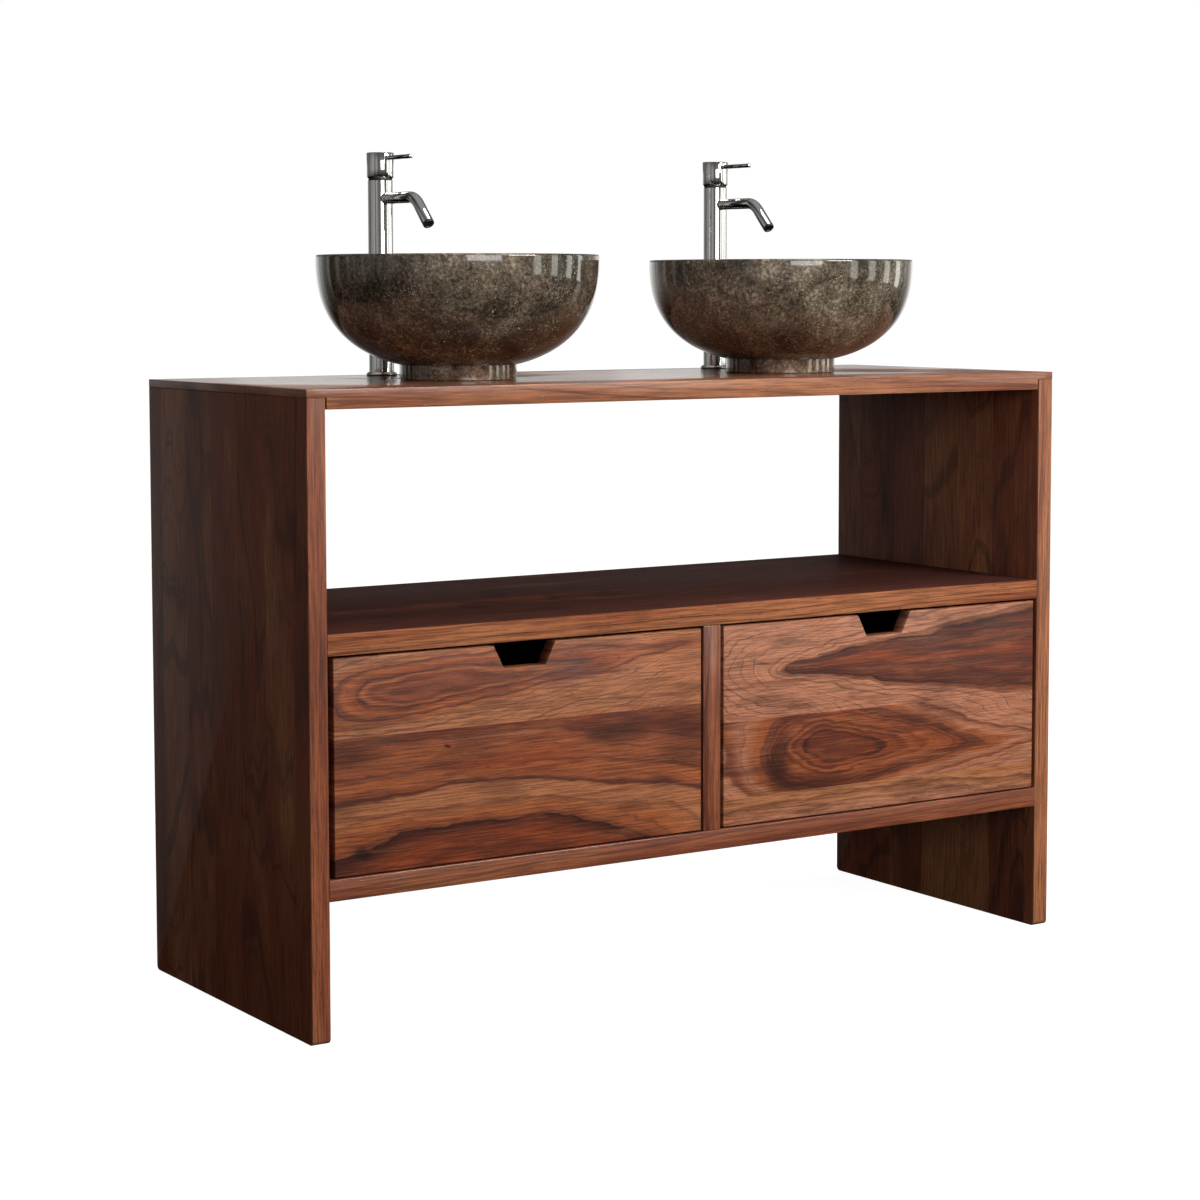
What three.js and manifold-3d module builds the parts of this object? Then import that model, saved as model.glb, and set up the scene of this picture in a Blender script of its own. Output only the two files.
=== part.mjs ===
// A double-basin vanity in solid wood: a worktop lapped over two side panels, a shelf, two drawers on
// telescopic slides, two stone vessel basins with click wastes, and two tall pin-lever mixer taps.
// Millimetres, +X to the right, -Y towards the user, +Z up; the origin is on the floor under the middle.
import * as THREE from "three";
import { mergeVertices } from "three/addons/utils/BufferGeometryUtils.js";
import Module from "manifold-3d";

const wasm = await Module();
wasm.setup();

// ---- driving dimensions: the carcass -------------------------------------------------------------
const width = 1200;
const depth = 467;
const height = 808; // floor to the top of the worktop
const sideThickness = 25.5;
const worktopThickness = 25;
const lapThickness = 10.5; // the worktop's rebated end, lying on top of each side panel
const lapShoulderGap = 2; // shadow gap between the rebate's shoulder and the side panel
const shelfTop = 508;
const shelfThickness = 27;
const bottomBoardTop = 204;
const bottomBoardThickness = 27;
const dividerThickness = 28;
const housingDepth = 8; // how far the shelf and the bottom board sit in the side panels
const dividerHousingDepth = 6;
const housingStop = 20; // the housings stop this far behind the front edge
const housingGap = 0.3;
const footRadius = 7; // rounded lower corners of the side panels
const backPanelThickness = 8;

// ---- driving dimensions: the drawers -------------------------------------------------------------
const frontThickness = 22;
const frontRecess = 1; // drawer front behind the carcass's front edges
const frontSideGap = 5.5;
const frontTopGap = 3.2;
const frontBottomGap = 2;
const drawerSettle = { left: 2.5, right: 0 }; // how far each drawer hangs to the right in its bay
const notchTopWidth = 92;
const notchBottomWidth = 62;
const notchDepth = 30;
const boxSideThickness = 12;
const boxHeight = 190;
const boxBackGap = 56; // behind the drawer box, to the back panel
const boxLift = 8; // drawer box above the bottom board
const boxBottomThickness = 6;
const boxBottomLift = 10; // groove above the lower edge of the drawer sides
const grooveDepth = 6;
const grooveGap = 0.5;
const slideSpace = 12.7; // room for one slide between the carcass and the drawer box
const slideHeight = 35;
const slideShort = 30; // how much shorter a slide is than the drawer box
const slideSetback = 4; // slide behind the drawer front
const slideSheet = 1.2;
const slideChannelDepth = 10;
const slideBallGap = 3.8; // between the flanges of the channel and of the runner
const slideWebGap = 1.3; // between the channel's web and the edges of the runner's flanges

// ---- driving dimensions: the basins --------------------------------------------------------------
const basinX = { left: -262, right: 274 };
const basinRadius = 189.5;
const basinHeight = { left: 166, right: 161 }; // cut by hand, so not quite a pair
const basinFootHeight = 20;
const basinCurvePower = 2.5; // exponent of the bowl's superellipse
const basinFootRadius = 78.5;
const basinWall = 15;
const basinFloor = 25; // inside floor above the worktop
const basinRimRound = 3;
const wasteHoleRadius = 22.5;
const wasteSeatDepth = 1;
const wasteSealThickness = 1.5;
const wasteFlangeRadius = 32;
const wasteFlangeThickness = 2.5;
const wasteThroatRadius = 23;
const wasteTubeRadius = 20;
const wasteTubeWall = 1.5;
const wasteTailBelow = 9; // threaded tail under the worktop
const wasteNutRadius = 29;
const wasteNutThickness = 8;
const plugHeadRadius = 31;
const plugLift = 8; // open plug above its flange
const plugStemRadius = 2.8;
const plugNeckFlare = 3; // radius of the stem under the head, in stem radii
const plugNeckHeight = 4;
// The head's crown: share of its radius, height above its underside.
const plugCrown = [[1, 2.5], [0.72, 5], [0.38, 5.8], [0, 6]];
const guideHubRadius = 6.5;
const guideArmWidth = 3;
const guideHeight = 5;
const guideBelowFlange = 12;
const flangeChamfer = 1;

// ---- driving dimensions: the taps ----------------------------------------------------------------
const tapOffsetX = { left: -2, right: 34 }; // tap to the right of its basin's centre
const tapFromBack = 37.5; // tap axis to the back edge of the worktop
const tapToBasin = 3.7; // between the tap's column and the basin's rim
const columnRadius = 17.8;
const columnTop = 271.7; // above the worktop
const baseRingRadius = 22;
const baseRingThickness = 4;
const baseRingEdge = 1; // upright edge under the base ring's chamfer
const baseRingShoulder = 0.8; // flat left round the column
const baseSealThickness = 1;
const shankRadius = 14;
const shankBelow = 14; // under the worktop
const tapHoleRadius = 17.5;
const waterwayRadius = 8;
const waterwayRoof = 8; // solid metal between the waterway and the cartridge
const washerThickness = 2;
const tapNutThickness = 8;
const tapNutRadius = 20; // across the corners
const cartridgeRadius = 12.2;
const cartridgeHeight = 34;
const cartridgeGap = 1.6; // under the sweep of the cap's cavity
const carrierFlangeRadius = 9;
const carrierFlangeThickness = 6;
const carrierNeckRadius = 7;
const carrierAbovePivot = 2.5;
const stemBallRadius = 3.4;
const stemRadius = 2.5;
const capRadius = 19;
const capHeight = 36;
const capGroove = 2.3; // between the column and the cap
const capChamfer = { across: 2, up: 2.5 };
const capCavityRadius = 14;
const pivotAboveCapBottom = 12; // the handle tips about this height
const capRoof = 11;
const socketRoof = 4; // solid metal over the stem's socket
const leverRadius = 3;
const leverBelowTop = 8;
const leverReach = 89; // from the tap's axis
const leverRoot = 11; // inner end of the lever, from the tap's axis
const spoutRadius = 8;
const spoutWall = 1.5;
const spoutAxisHeight = 246;
const spoutReach = 135;
const spoutDrop = 36;
const spoutBend = THREE.MathUtils.degToRad(45);
const spoutBendRadius = 36;
const spoutSeat = 4.5; // length of the spout's root inside the column's wall
const aeratorLip = 2.5;
const aeratorLength = 8;
const aeratorFaceRecess = 1;
const aeratorRing = 1.2; // thickness of the ring inside the recess

// ---- clearances and fineness ---------------------------------------------------------------------
const seatGap = 0.3; // round a piece that is fixed in a hole
const runningGap = 0.2; // between faces that slide on each other
const swivelGap = 0.4; // round the handle's ball
const edgeBreak = 0.6; // chamfer on a small turned edge
const rimShoulder = 0.3; // share of the rim's rounding left at the middle of its arc
const past = 1; // how far a cutter runs beyond the face that it opens
const basinSides = 36;
const tapSides = 24;
const spoutSides = 16;
const smallSides = 16;

// ---- places that follow --------------------------------------------------------------------------
const frontY = -depth / 2;
const backY = depth / 2;
const innerX = width / 2 - sideThickness;
const shelfBottom = shelfTop - shelfThickness;
const worktopBottom = height - worktopThickness;
const drawerFrontY = frontY + frontRecess;
const boxFrontY = drawerFrontY + frontThickness;
const boxLength = backY - backPanelThickness - boxBackGap - boxFrontY;
const slideLength = boxLength - slideShort;
const boxBottomZ = bottomBoardTop + boxLift;
const panelGrooveZ = boxBottomZ + boxBottomLift;
const tapY = backY - tapFromBack;
const basinY = tapY - columnRadius - tapToBasin - basinRadius;
const pivotZ = columnTop + capGroove + pivotAboveCapBottom;
const cartridgeTop = pivotZ - Math.hypot(capCavityRadius, pivotAboveCapBottom) - cartridgeGap;
const cartridgeBottom = cartridgeTop - cartridgeHeight;

// ---- materials -----------------------------------------------------------------------------------
const rosewood = () => new THREE.MeshStandardMaterial({ color: 0x6b3a26, roughness: 0.35 });
const drawerWood = () => new THREE.MeshStandardMaterial({ color: 0x9a6242, roughness: 0.38 });
const boxWood = () => new THREE.MeshStandardMaterial({ color: 0xa98661, roughness: 0.6 });
const marble = () => new THREE.MeshStandardMaterial({ color: 0x3c352f, roughness: 0.15 });
const chrome = () => new THREE.MeshStandardMaterial({ color: 0xd8dadc, roughness: 0.08, metalness: 1 });
const zincedSteel = () => new THREE.MeshStandardMaterial({ color: 0xa9adb2, roughness: 0.35, metalness: 1 });
const rubber = () => new THREE.MeshStandardMaterial({ color: 0x1c1c1c, roughness: 0.85 });
const brass = () => new THREE.MeshStandardMaterial({ color: 0xb08d57, roughness: 0.3, metalness: 1 });
const plastic = () => new THREE.MeshStandardMaterial({ color: 0xe4e2dc, roughness: 0.5 });

// ---- geometry helpers ----------------------------------------------------------------------------
const vanity = new THREE.Group();

function add(parent, name, geometry, material) {
  const mesh = new THREE.Mesh(geometry, material);
  mesh.name = name;
  parent.add(mesh);
  return mesh;
}

function placed(parent, x, y, z) {
  const group = new THREE.Group();
  group.position.set(x, y, z);
  parent.add(group);
  return group;
}

function solidOf(geometry) {
  const bare = new THREE.BufferGeometry();
  bare.setAttribute("position", geometry.getAttribute("position"));
  if (geometry.index) bare.setIndex(geometry.index);
  const merged = mergeVertices(bare, 1e-4);
  return new wasm.Manifold(
    new wasm.Mesh({
      numProp: 3,
      vertProperties: new Float32Array(merged.attributes.position.array),
      triVerts: new Uint32Array(merged.index.array),
    }),
  );
}

function geometryOf(solid) {
  const mesh = solid.getMesh();
  const geometry = new THREE.BufferGeometry();
  geometry.setAttribute("position", new THREE.BufferAttribute(mesh.vertProperties, mesh.numProp));
  geometry.setIndex(new THREE.BufferAttribute(mesh.triVerts, 1));
  geometry.computeVertexNormals();
  return geometry;
}

function cut(geometry, ...tools) {
  return geometryOf(tools.reduce((solid, tool) => solid.subtract(solidOf(tool)), solidOf(geometry)));
}

function join(geometry, ...others) {
  return geometryOf(others.reduce((solid, other) => solid.add(solidOf(other)), solidOf(geometry)));
}

function block(x, y, z) {
  const geometry = new THREE.BoxGeometry(x[1] - x[0], y[1] - y[0], z[1] - z[0]);
  return geometry.translate((x[0] + x[1]) / 2, (y[0] + y[1]) / 2, (z[0] + z[1]) / 2);
}

// A solid of revolution about Z from [radius, height] pairs, listed anticlockwise.
function turned(profile, sides) {
  const points = profile.map(([radius, z]) => new THREE.Vector2(radius, z));
  if (profile[0][0] > 0) points.push(points[0].clone());
  return new THREE.LatheGeometry(points, sides).rotateX(Math.PI / 2);
}

// A rod from z[0] to z[1] about Z.
function rod(radius, z, sides) {
  return turned([[0, z[0]], [radius, z[0]], [radius, z[1]], [0, z[1]]], sides);
}

function ring(inner, outer, z, sides) {
  return turned([[inner, z[0]], [outer, z[0]], [outer, z[1]], [inner, z[1]]], sides);
}

// A nut about Z; its radius is across the corners.
function nut(radius, corners, bore, z, boreSides) {
  return cut(rod(radius, z, corners), rod(bore, [z[0] - past, z[1] + past], boreSides));
}

function outline(points) {
  return new THREE.Shape(points.map(([x, y]) => new THREE.Vector2(x, y)));
}

// A profile in the XZ plane, drawn out along Y.
function alongY(points, y) {
  const geometry = new THREE.ExtrudeGeometry(outline(points), { depth: y[1] - y[0], bevelEnabled: false });
  return geometry.rotateX(Math.PI / 2).translate(0, y[1], 0);
}

// A profile in the YZ plane, drawn out along X.
function alongX(shape, x) {
  const geometry = new THREE.ExtrudeGeometry(shape, {
    depth: x[1] - x[0],
    bevelEnabled: false,
    curveSegments: 4,
  });
  return geometry.rotateX(Math.PI / 2).rotateZ(Math.PI / 2).translate(x[0], 0, 0);
}

function circle(radius, sides) {
  const step = (2 * Math.PI) / sides;
  const corner = (i) => new THREE.Vector2(radius * Math.cos(i * step), radius * Math.sin(i * step));
  return Array.from({ length: sides }, (_, i) => corner(i));
}

// ---- carcass -------------------------------------------------------------------------------------
function worktopBoard() {
  const lapBottom = height - lapThickness;
  const shoulder = innerX - lapShoulderGap;
  const profile = [
    [-shoulder, worktopBottom],
    [shoulder, worktopBottom],
    [shoulder, lapBottom],
    [width / 2, lapBottom],
    [width / 2, height],
    [-width / 2, height],
    [-width / 2, lapBottom],
    [-shoulder, lapBottom],
  ];
  const hole = (radius, x, y) =>
    rod(radius, [worktopBottom - past, height + past], tapSides).translate(x, y, 0);
  const holes = ["left", "right"].flatMap((side) => [
    hole(wasteHoleRadius, basinX[side], basinY),
    hole(tapHoleRadius, basinX[side] + tapOffsetX[side], tapY),
  ]);
  return cut(alongY(profile, [frontY, backY]), ...holes);
}

// The housing for a board's end: deeper than the end by a gap all round, except where the board rests.
function endHousing(x, top, thickness) {
  return block(
    x,
    [frontY + housingStop, backY + past],
    [top - thickness, top + housingGap],
  );
}

function sidePanel(hand) {
  const top = height - lapThickness;
  const shape = new THREE.Shape();
  shape.moveTo(frontY + footRadius, 0);
  shape.lineTo(backY - footRadius, 0);
  shape.absarc(backY - footRadius, footRadius, footRadius, -Math.PI / 2, 0, false);
  shape.lineTo(backY, top);
  shape.lineTo(frontY, top);
  shape.lineTo(frontY, footRadius);
  shape.absarc(frontY + footRadius, footRadius, footRadius, Math.PI, 1.5 * Math.PI, false);
  const panel = alongX(shape, [innerX, width / 2]);
  const housing = [innerX - past, innerX + housingDepth + housingGap];
  const housed = cut(
    panel,
    endHousing(housing, shelfTop, shelfThickness),
    endHousing(housing, bottomBoardTop, bottomBoardThickness),
  );
  return hand === "right" ? housed : geometryOf(solidOf(housed).mirror([1, 0, 0]));
}

// A board between the side panels whose ends are housed, with its front corners cut back to the stop.
function housedBoard(top, thickness, dividerFace) {
  const z = [top - thickness, top];
  const outer = innerX + housingDepth;
  const front = block([-innerX, innerX], [frontY, frontY + housingStop + housingGap], z);
  const body = block([-outer, outer], [frontY + housingStop + housingGap, backY], z);
  const half = dividerThickness / 2 + housingGap;
  const slot = dividerFace === "below" ? [z[0] - past, z[0] + dividerHousingDepth]
    : [z[1] - dividerHousingDepth, z[1] + past];
  const slotFront = frontY + housingStop;
  return cut(join(front, body), block([-half, half], [slotFront, backY - backPanelThickness], slot));
}

function dividerBoard() {
  const half = dividerThickness / 2;
  const end = backY - backPanelThickness;
  const face = block([-half, half], [frontY, end], [bottomBoardTop, shelfBottom]);
  const tenon = block(
    [-half, half],
    [frontY + housingStop + housingGap, end - housingGap],
    [bottomBoardTop - dividerHousingDepth, shelfBottom + dividerHousingDepth],
  );
  return join(face, tenon);
}

function carcass() {
  add(vanity, "worktop", worktopBoard(), rosewood());
  add(vanity, "left_side_panel", sidePanel("left"), rosewood());
  add(vanity, "right_side_panel", sidePanel("right"), rosewood());
  add(vanity, "shelf", housedBoard(shelfTop, shelfThickness, "below"), rosewood());
  add(vanity, "bottom_board", housedBoard(bottomBoardTop, bottomBoardThickness, "above"), rosewood());
  add(vanity, "divider", dividerBoard(), rosewood());
  const back = block(
    [-innerX, innerX],
    [backY - backPanelThickness, backY],
    [bottomBoardTop, shelfBottom],
  );
  add(vanity, "back_panel", back, boxWood());
}

// ---- drawers -------------------------------------------------------------------------------------
// A U-shaped slide member, drawn out along Y; its web is at x = web and its flanges reach x = lip.
function slideMember(web, lip, halfHeight, z, y) {
  const inward = Math.sign(lip - web) * slideSheet;
  const profile = [
    [web, z - halfHeight],
    [lip, z - halfHeight],
    [lip, z - halfHeight + slideSheet],
    [web + inward, z - halfHeight + slideSheet],
    [web + inward, z + halfHeight - slideSheet],
    [lip, z + halfHeight - slideSheet],
    [lip, z + halfHeight],
    [web, z + halfHeight],
  ];
  return alongY(profile, y);
}

function drawer(side) {
  const bay = side === "left" ? [-innerX, -dividerThickness / 2] : [dividerThickness / 2, innerX];
  const box = [bay[0] + slideSpace, bay[1] - slideSpace];
  const inside = [box[0] + boxSideThickness, box[1] - boxSideThickness];
  const front = [bay[0] + frontSideGap + drawerSettle[side], bay[1] - frontSideGap + drawerSettle[side]];
  const frontZ = [bottomBoardTop + frontBottomGap, shelfBottom - frontTopGap];
  const boxY = [boxFrontY, boxFrontY + boxLength];
  const boxZ = [boxBottomZ, boxBottomZ + boxHeight];
  const grooveZ = [panelGrooveZ, panelGrooveZ + boxBottomThickness + grooveGap];
  const name = (piece) => `${side}_drawer_${piece}`;

  const middle = (front[0] + front[1]) / 2;
  const notch = alongY(
    [
      [middle - notchBottomWidth / 2, frontZ[1] - notchDepth],
      [middle + notchBottomWidth / 2, frontZ[1] - notchDepth],
      [middle + notchTopWidth / 2, frontZ[1]],
      [middle + notchTopWidth / 2, frontZ[1] + past],
      [middle - notchTopWidth / 2, frontZ[1] + past],
      [middle - notchTopWidth / 2, frontZ[1]],
    ],
    [drawerFrontY - past, boxFrontY + past],
  );
  const frontGroove = block(
    [inside[0] - grooveDepth, inside[1] + grooveDepth],
    [boxFrontY - grooveDepth, boxFrontY + past],
    grooveZ,
  );
  const frontBoard = cut(block(front, [drawerFrontY, boxFrontY], frontZ), notch, frontGroove);
  add(vanity, name("front"), frontBoard, drawerWood());

  for (const [label, x, groove] of [
    ["left", [box[0], inside[0]], [inside[0] - grooveDepth, inside[0] + past]],
    ["right", [inside[1], box[1]], [inside[1] - past, inside[1] + grooveDepth]],
  ]) {
    const board = cut(block(x, boxY, boxZ), block(groove, [boxY[0] - past, boxY[1] + past], grooveZ));
    add(vanity, name(`${label}_side`), board, boxWood());
  }
  const backBoard = block(
    inside,
    [boxY[1] - boxSideThickness, boxY[1]],
    [panelGrooveZ + boxBottomThickness, boxZ[1]],
  );
  add(vanity, name("back"), backBoard, boxWood());
  const tongue = grooveDepth - grooveGap;
  const bottom = block(
    [inside[0] - tongue, inside[1] + tongue],
    [boxFrontY - tongue, boxY[1]],
    [panelGrooveZ, panelGrooveZ + boxBottomThickness],
  );
  add(vanity, name("bottom"), bottom, boxWood());

  const slideY = [boxFrontY + slideSetback, boxFrontY + slideSetback + slideLength];
  const slideZ = boxBottomZ + boxHeight / 2;
  const half = slideHeight / 2;
  const runnerHalf = half - slideSheet - slideBallGap;
  for (const [label, wall, away, boxFace] of [
    ["left", bay[0], 1, box[0]],
    ["right", bay[1], -1, box[1]],
  ]) {
    const channel = slideMember(wall, wall + away * slideChannelDepth, half, slideZ, slideY);
    add(vanity, `${side}_bay_${label}_slide_channel`, channel, zincedSteel());
    const lip = wall + away * (slideSheet + slideWebGap);
    const runner = slideMember(boxFace, lip, runnerHalf, slideZ, slideY);
    add(vanity, name(`${label}_slide_runner`), runner, zincedSteel());
  }
}

// ---- basins --------------------------------------------------------------------------------------
// The angle at which a bowl's curve has come in to a given radius.
function lowestAngle(radius, endRadius) {
  return Math.acos(Math.pow(endRadius / radius, basinCurvePower / 2));
}

// Points of a bowl's curve from the rim down to a given radius: a superellipse about the axis.
function bowlCurve(radius, rim, bowlDepth, endRadius, steps) {
  const lowest = lowestAngle(radius, endRadius);
  return Array.from({ length: steps + 1 }, (_, i) => {
    const angle = (lowest * i) / steps;
    const across = radius * Math.pow(Math.cos(angle), 2 / basinCurvePower);
    const down = bowlDepth * Math.pow(Math.sin(angle), 2 / basinCurvePower);
    return [across, rim - down];
  });
}

function bowl(rim) {
  const insideRadius = basinRadius - basinWall;
  const lowest = lowestAngle(basinRadius, basinFootRadius);
  const bowlDepth = (rim - basinFootHeight) / Math.pow(Math.sin(lowest), 2 / basinCurvePower);
  const seatRadius = wasteFlangeRadius + seatGap;
  const outer = bowlCurve(basinRadius, rim, bowlDepth, basinFootRadius, 10).slice(1).reverse();
  const inner = bowlCurve(insideRadius, rim, rim - basinFloor, seatRadius, 8).slice(1);
  const rimOuter = [basinRadius, rim - basinRimRound];
  const shoulder = basinRimRound * rimShoulder;
  const rimTop = [
    [basinRadius - shoulder, rim - shoulder],
    [basinRadius - basinRimRound, rim],
    [insideRadius + basinRimRound, rim],
    [insideRadius + shoulder, rim - shoulder],
  ];
  const keep = ([, z]) => z < rim - 1.3 * basinRimRound;
  return turned(
    [
      [wasteHoleRadius, 0],
      [basinFootRadius, 0],
      ...outer.filter(keep),
      rimOuter,
      ...rimTop,
      [insideRadius, rim - basinRimRound],
      ...inner.filter(keep),
      [seatRadius, basinFloor - wasteSeatDepth],
      [wasteHoleRadius, basinFloor - wasteSeatDepth],
    ],
    basinSides,
  );
}

function basin(side) {
  const group = placed(vanity, basinX[side], basinY, height);
  const name = (piece) => `${side}_${piece}`;
  const sealBottom = basinFloor - wasteSeatDepth;
  const flangeBottom = sealBottom + wasteSealThickness;
  const flangeTop = flangeBottom + wasteFlangeThickness;
  const tailBottom = -worktopThickness - wasteTailBelow;
  const tubeInside = wasteTubeRadius - wasteTubeWall;
  const guideTop = flangeBottom - guideBelowFlange;
  const guideBottom = guideTop - guideHeight;

  add(group, name("basin"), bowl(basinHeight[side]), marble());
  const sealZ = [sealBottom, flangeBottom];
  const seal = ring(wasteTubeRadius + seatGap, wasteFlangeRadius - flangeChamfer, sealZ, smallSides);
  add(group, name("waste_seal"), seal, rubber());

  const tube = turned(
    [
      [tubeInside, tailBottom],
      [wasteTubeRadius, tailBottom],
      [wasteTubeRadius, flangeBottom],
      [wasteFlangeRadius, flangeBottom],
      [wasteFlangeRadius, flangeTop - flangeChamfer],
      [wasteFlangeRadius - flangeChamfer, flangeTop],
      [wasteThroatRadius, flangeTop],
      [tubeInside, flangeBottom],
    ],
    smallSides,
  );
  const armReach = wasteTubeRadius - wasteTubeWall / 2;
  const armHalf = guideArmWidth / 2;
  const arms = [0, 1].map((turn) =>
    block([-armReach, armReach], [-armHalf, armHalf], [guideBottom, guideTop])
      .rotateZ((turn * Math.PI) / 2));
  const hub = rod(guideHubRadius, [guideBottom, guideTop], smallSides);
  const stemHole = rod(plugStemRadius + seatGap, [guideBottom - past, guideTop + past], smallSides);
  add(group, name("waste_body"), cut(join(tube, hub, ...arms), stemHole), chrome());

  const nutZ = [-worktopThickness - wasteNutThickness, -worktopThickness];
  add(group, name("waste_nut"), nut(wasteNutRadius, 8, wasteTubeRadius + seatGap, nutZ, smallSides), brass());

  const headBottom = flangeTop + plugLift;
  const plug = turned(
    [
      [0, guideBottom - plugLift],
      [plugStemRadius, guideBottom - plugLift],
      [plugStemRadius, headBottom - plugNeckHeight],
      [plugStemRadius * plugNeckFlare, headBottom],
      [plugHeadRadius - flangeChamfer, headBottom],
      [plugHeadRadius, headBottom + flangeChamfer],
      ...plugCrown.map(([share, up]) => [plugHeadRadius * share, headBottom + up]),
    ],
    smallSides,
  );
  add(group, name("waste_plug"), plug, chrome());
}

// ---- taps ----------------------------------------------------------------------------------------
// The spout's axis in its own plane: straight out, one bend, and straight down to the outlet.
class SpoutAxis extends THREE.Curve {
  constructor(root, bendSteps) {
    super();
    this.steps = bendSteps + 2;
    const tangentLength = spoutBendRadius * Math.tan(spoutBend / 2);
    const vertex = spoutReach - spoutDrop / Math.tan(spoutBend);
    this.root = root;
    this.bendStart = vertex - tangentLength;
    this.endLength = spoutDrop / Math.sin(spoutBend) - tangentLength;
  }

  // The length runs evenly within each stretch, so that all the steps but two lie in the bend.
  getUtoTmapping(u) {
    return u;
  }

  getPoint(t) {
    const s = t * this.steps;
    if (s < 1) return this.at(THREE.MathUtils.lerp(this.root, this.bendStart, s), 0);
    const turn = spoutBend * Math.min(1, (s - 1) / (this.steps - 2));
    const along = this.endLength * Math.max(0, s - this.steps + 1);
    return this.at(
      this.bendStart + spoutBendRadius * Math.sin(turn) + along * Math.cos(turn),
      -spoutBendRadius * (1 - Math.cos(turn)) - along * Math.sin(turn),
    );
  }

  at(forward, up) {
    return new THREE.Vector3(0, -forward, spoutAxisHeight + up);
  }
}

function spoutTube() {
  const axis = new SpoutAxis(columnRadius - spoutSeat, 7);
  const shape = new THREE.Shape(circle(spoutRadius, spoutSides));
  shape.holes.push(new THREE.Path(circle(spoutRadius - spoutWall, spoutSides)));
  return new THREE.ExtrudeGeometry(shape, { extrudePath: axis, steps: axis.steps, bevelEnabled: false });
}

// The column's top is a dish centred on the handle's pivot, so that the cap can tip without touching it.
function columnBody() {
  const bore = cartridgeRadius + seatGap;
  const dishRadius = Math.hypot(columnRadius, pivotZ - columnTop);
  const dishSteps = 4;
  const dish = Array.from({ length: dishSteps + 1 }, (_, i) => {
    const radius = THREE.MathUtils.lerp(columnRadius, bore, i / dishSteps);
    return [radius, pivotZ - Math.sqrt(dishRadius ** 2 - radius ** 2)];
  });
  const shoulder = baseSealThickness + baseRingThickness;
  const column = turned(
    [
      [waterwayRadius, -worktopThickness - shankBelow],
      [shankRadius, -worktopThickness - shankBelow],
      [shankRadius, shoulder],
      [columnRadius, shoulder],
      ...dish,
      [bore, cartridgeBottom],
      [0, cartridgeBottom],
      [0, cartridgeBottom - waterwayRoof],
      [waterwayRadius, cartridgeBottom - waterwayRoof],
    ],
    tapSides,
  );
  const port = rod(spoutRadius + seatGap, [0, columnRadius + past], spoutSides)
    .rotateX(Math.PI / 2)
    .translate(0, 0, spoutAxisHeight);
  return cut(column, port);
}

function handleCap() {
  const bottom = pivotZ - pivotAboveCapBottom;
  const top = bottom + capHeight;
  const cap = turned(
    [
      [capCavityRadius, bottom],
      [capRadius - capChamfer.across, bottom],
      [capRadius, bottom + capChamfer.up],
      [capRadius, top - edgeBreak],
      [capRadius - edgeBreak, top],
      [0, top],
      [0, top - socketRoof],
      [stemRadius + seatGap, top - socketRoof],
      [stemRadius + seatGap, top - capRoof],
      [capCavityRadius, top - capRoof],
    ],
    tapSides,
  );
  const leverHole = rod(leverRadius + seatGap, [leverRoot, capRadius + past], smallSides)
    .rotateX(Math.PI / 2)
    .translate(0, 0, top - leverBelowTop);
  return cut(cap, leverHole);
}

function stem() {
  const top = pivotZ - pivotAboveCapBottom + capHeight - socketRoof;
  const neck = Math.acos(stemRadius / stemBallRadius);
  const steps = 6;
  const ball = Array.from({ length: steps + 1 }, (_, i) => {
    const angle = -Math.PI / 2 + ((neck + Math.PI / 2) * i) / steps;
    return [stemBallRadius * Math.cos(angle), pivotZ + stemBallRadius * Math.sin(angle)];
  });
  ball[0][0] = 0;
  return turned([...ball, [stemRadius, top], [0, top]], smallSides);
}

function aerator() {
  const inside = spoutRadius - spoutWall - seatGap;
  const profile = [
    [0, aeratorLip - aeratorFaceRecess],
    [inside - aeratorRing, aeratorLip - aeratorFaceRecess],
    [inside - edgeBreak, aeratorLip],
    [spoutRadius - edgeBreak, aeratorLip],
    [spoutRadius, aeratorLip - edgeBreak],
    [spoutRadius, 0],
    [inside, 0],
    [inside, -aeratorLength],
    [0, -aeratorLength],
  ];
  return turned(profile.reverse(), smallSides);
}

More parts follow.
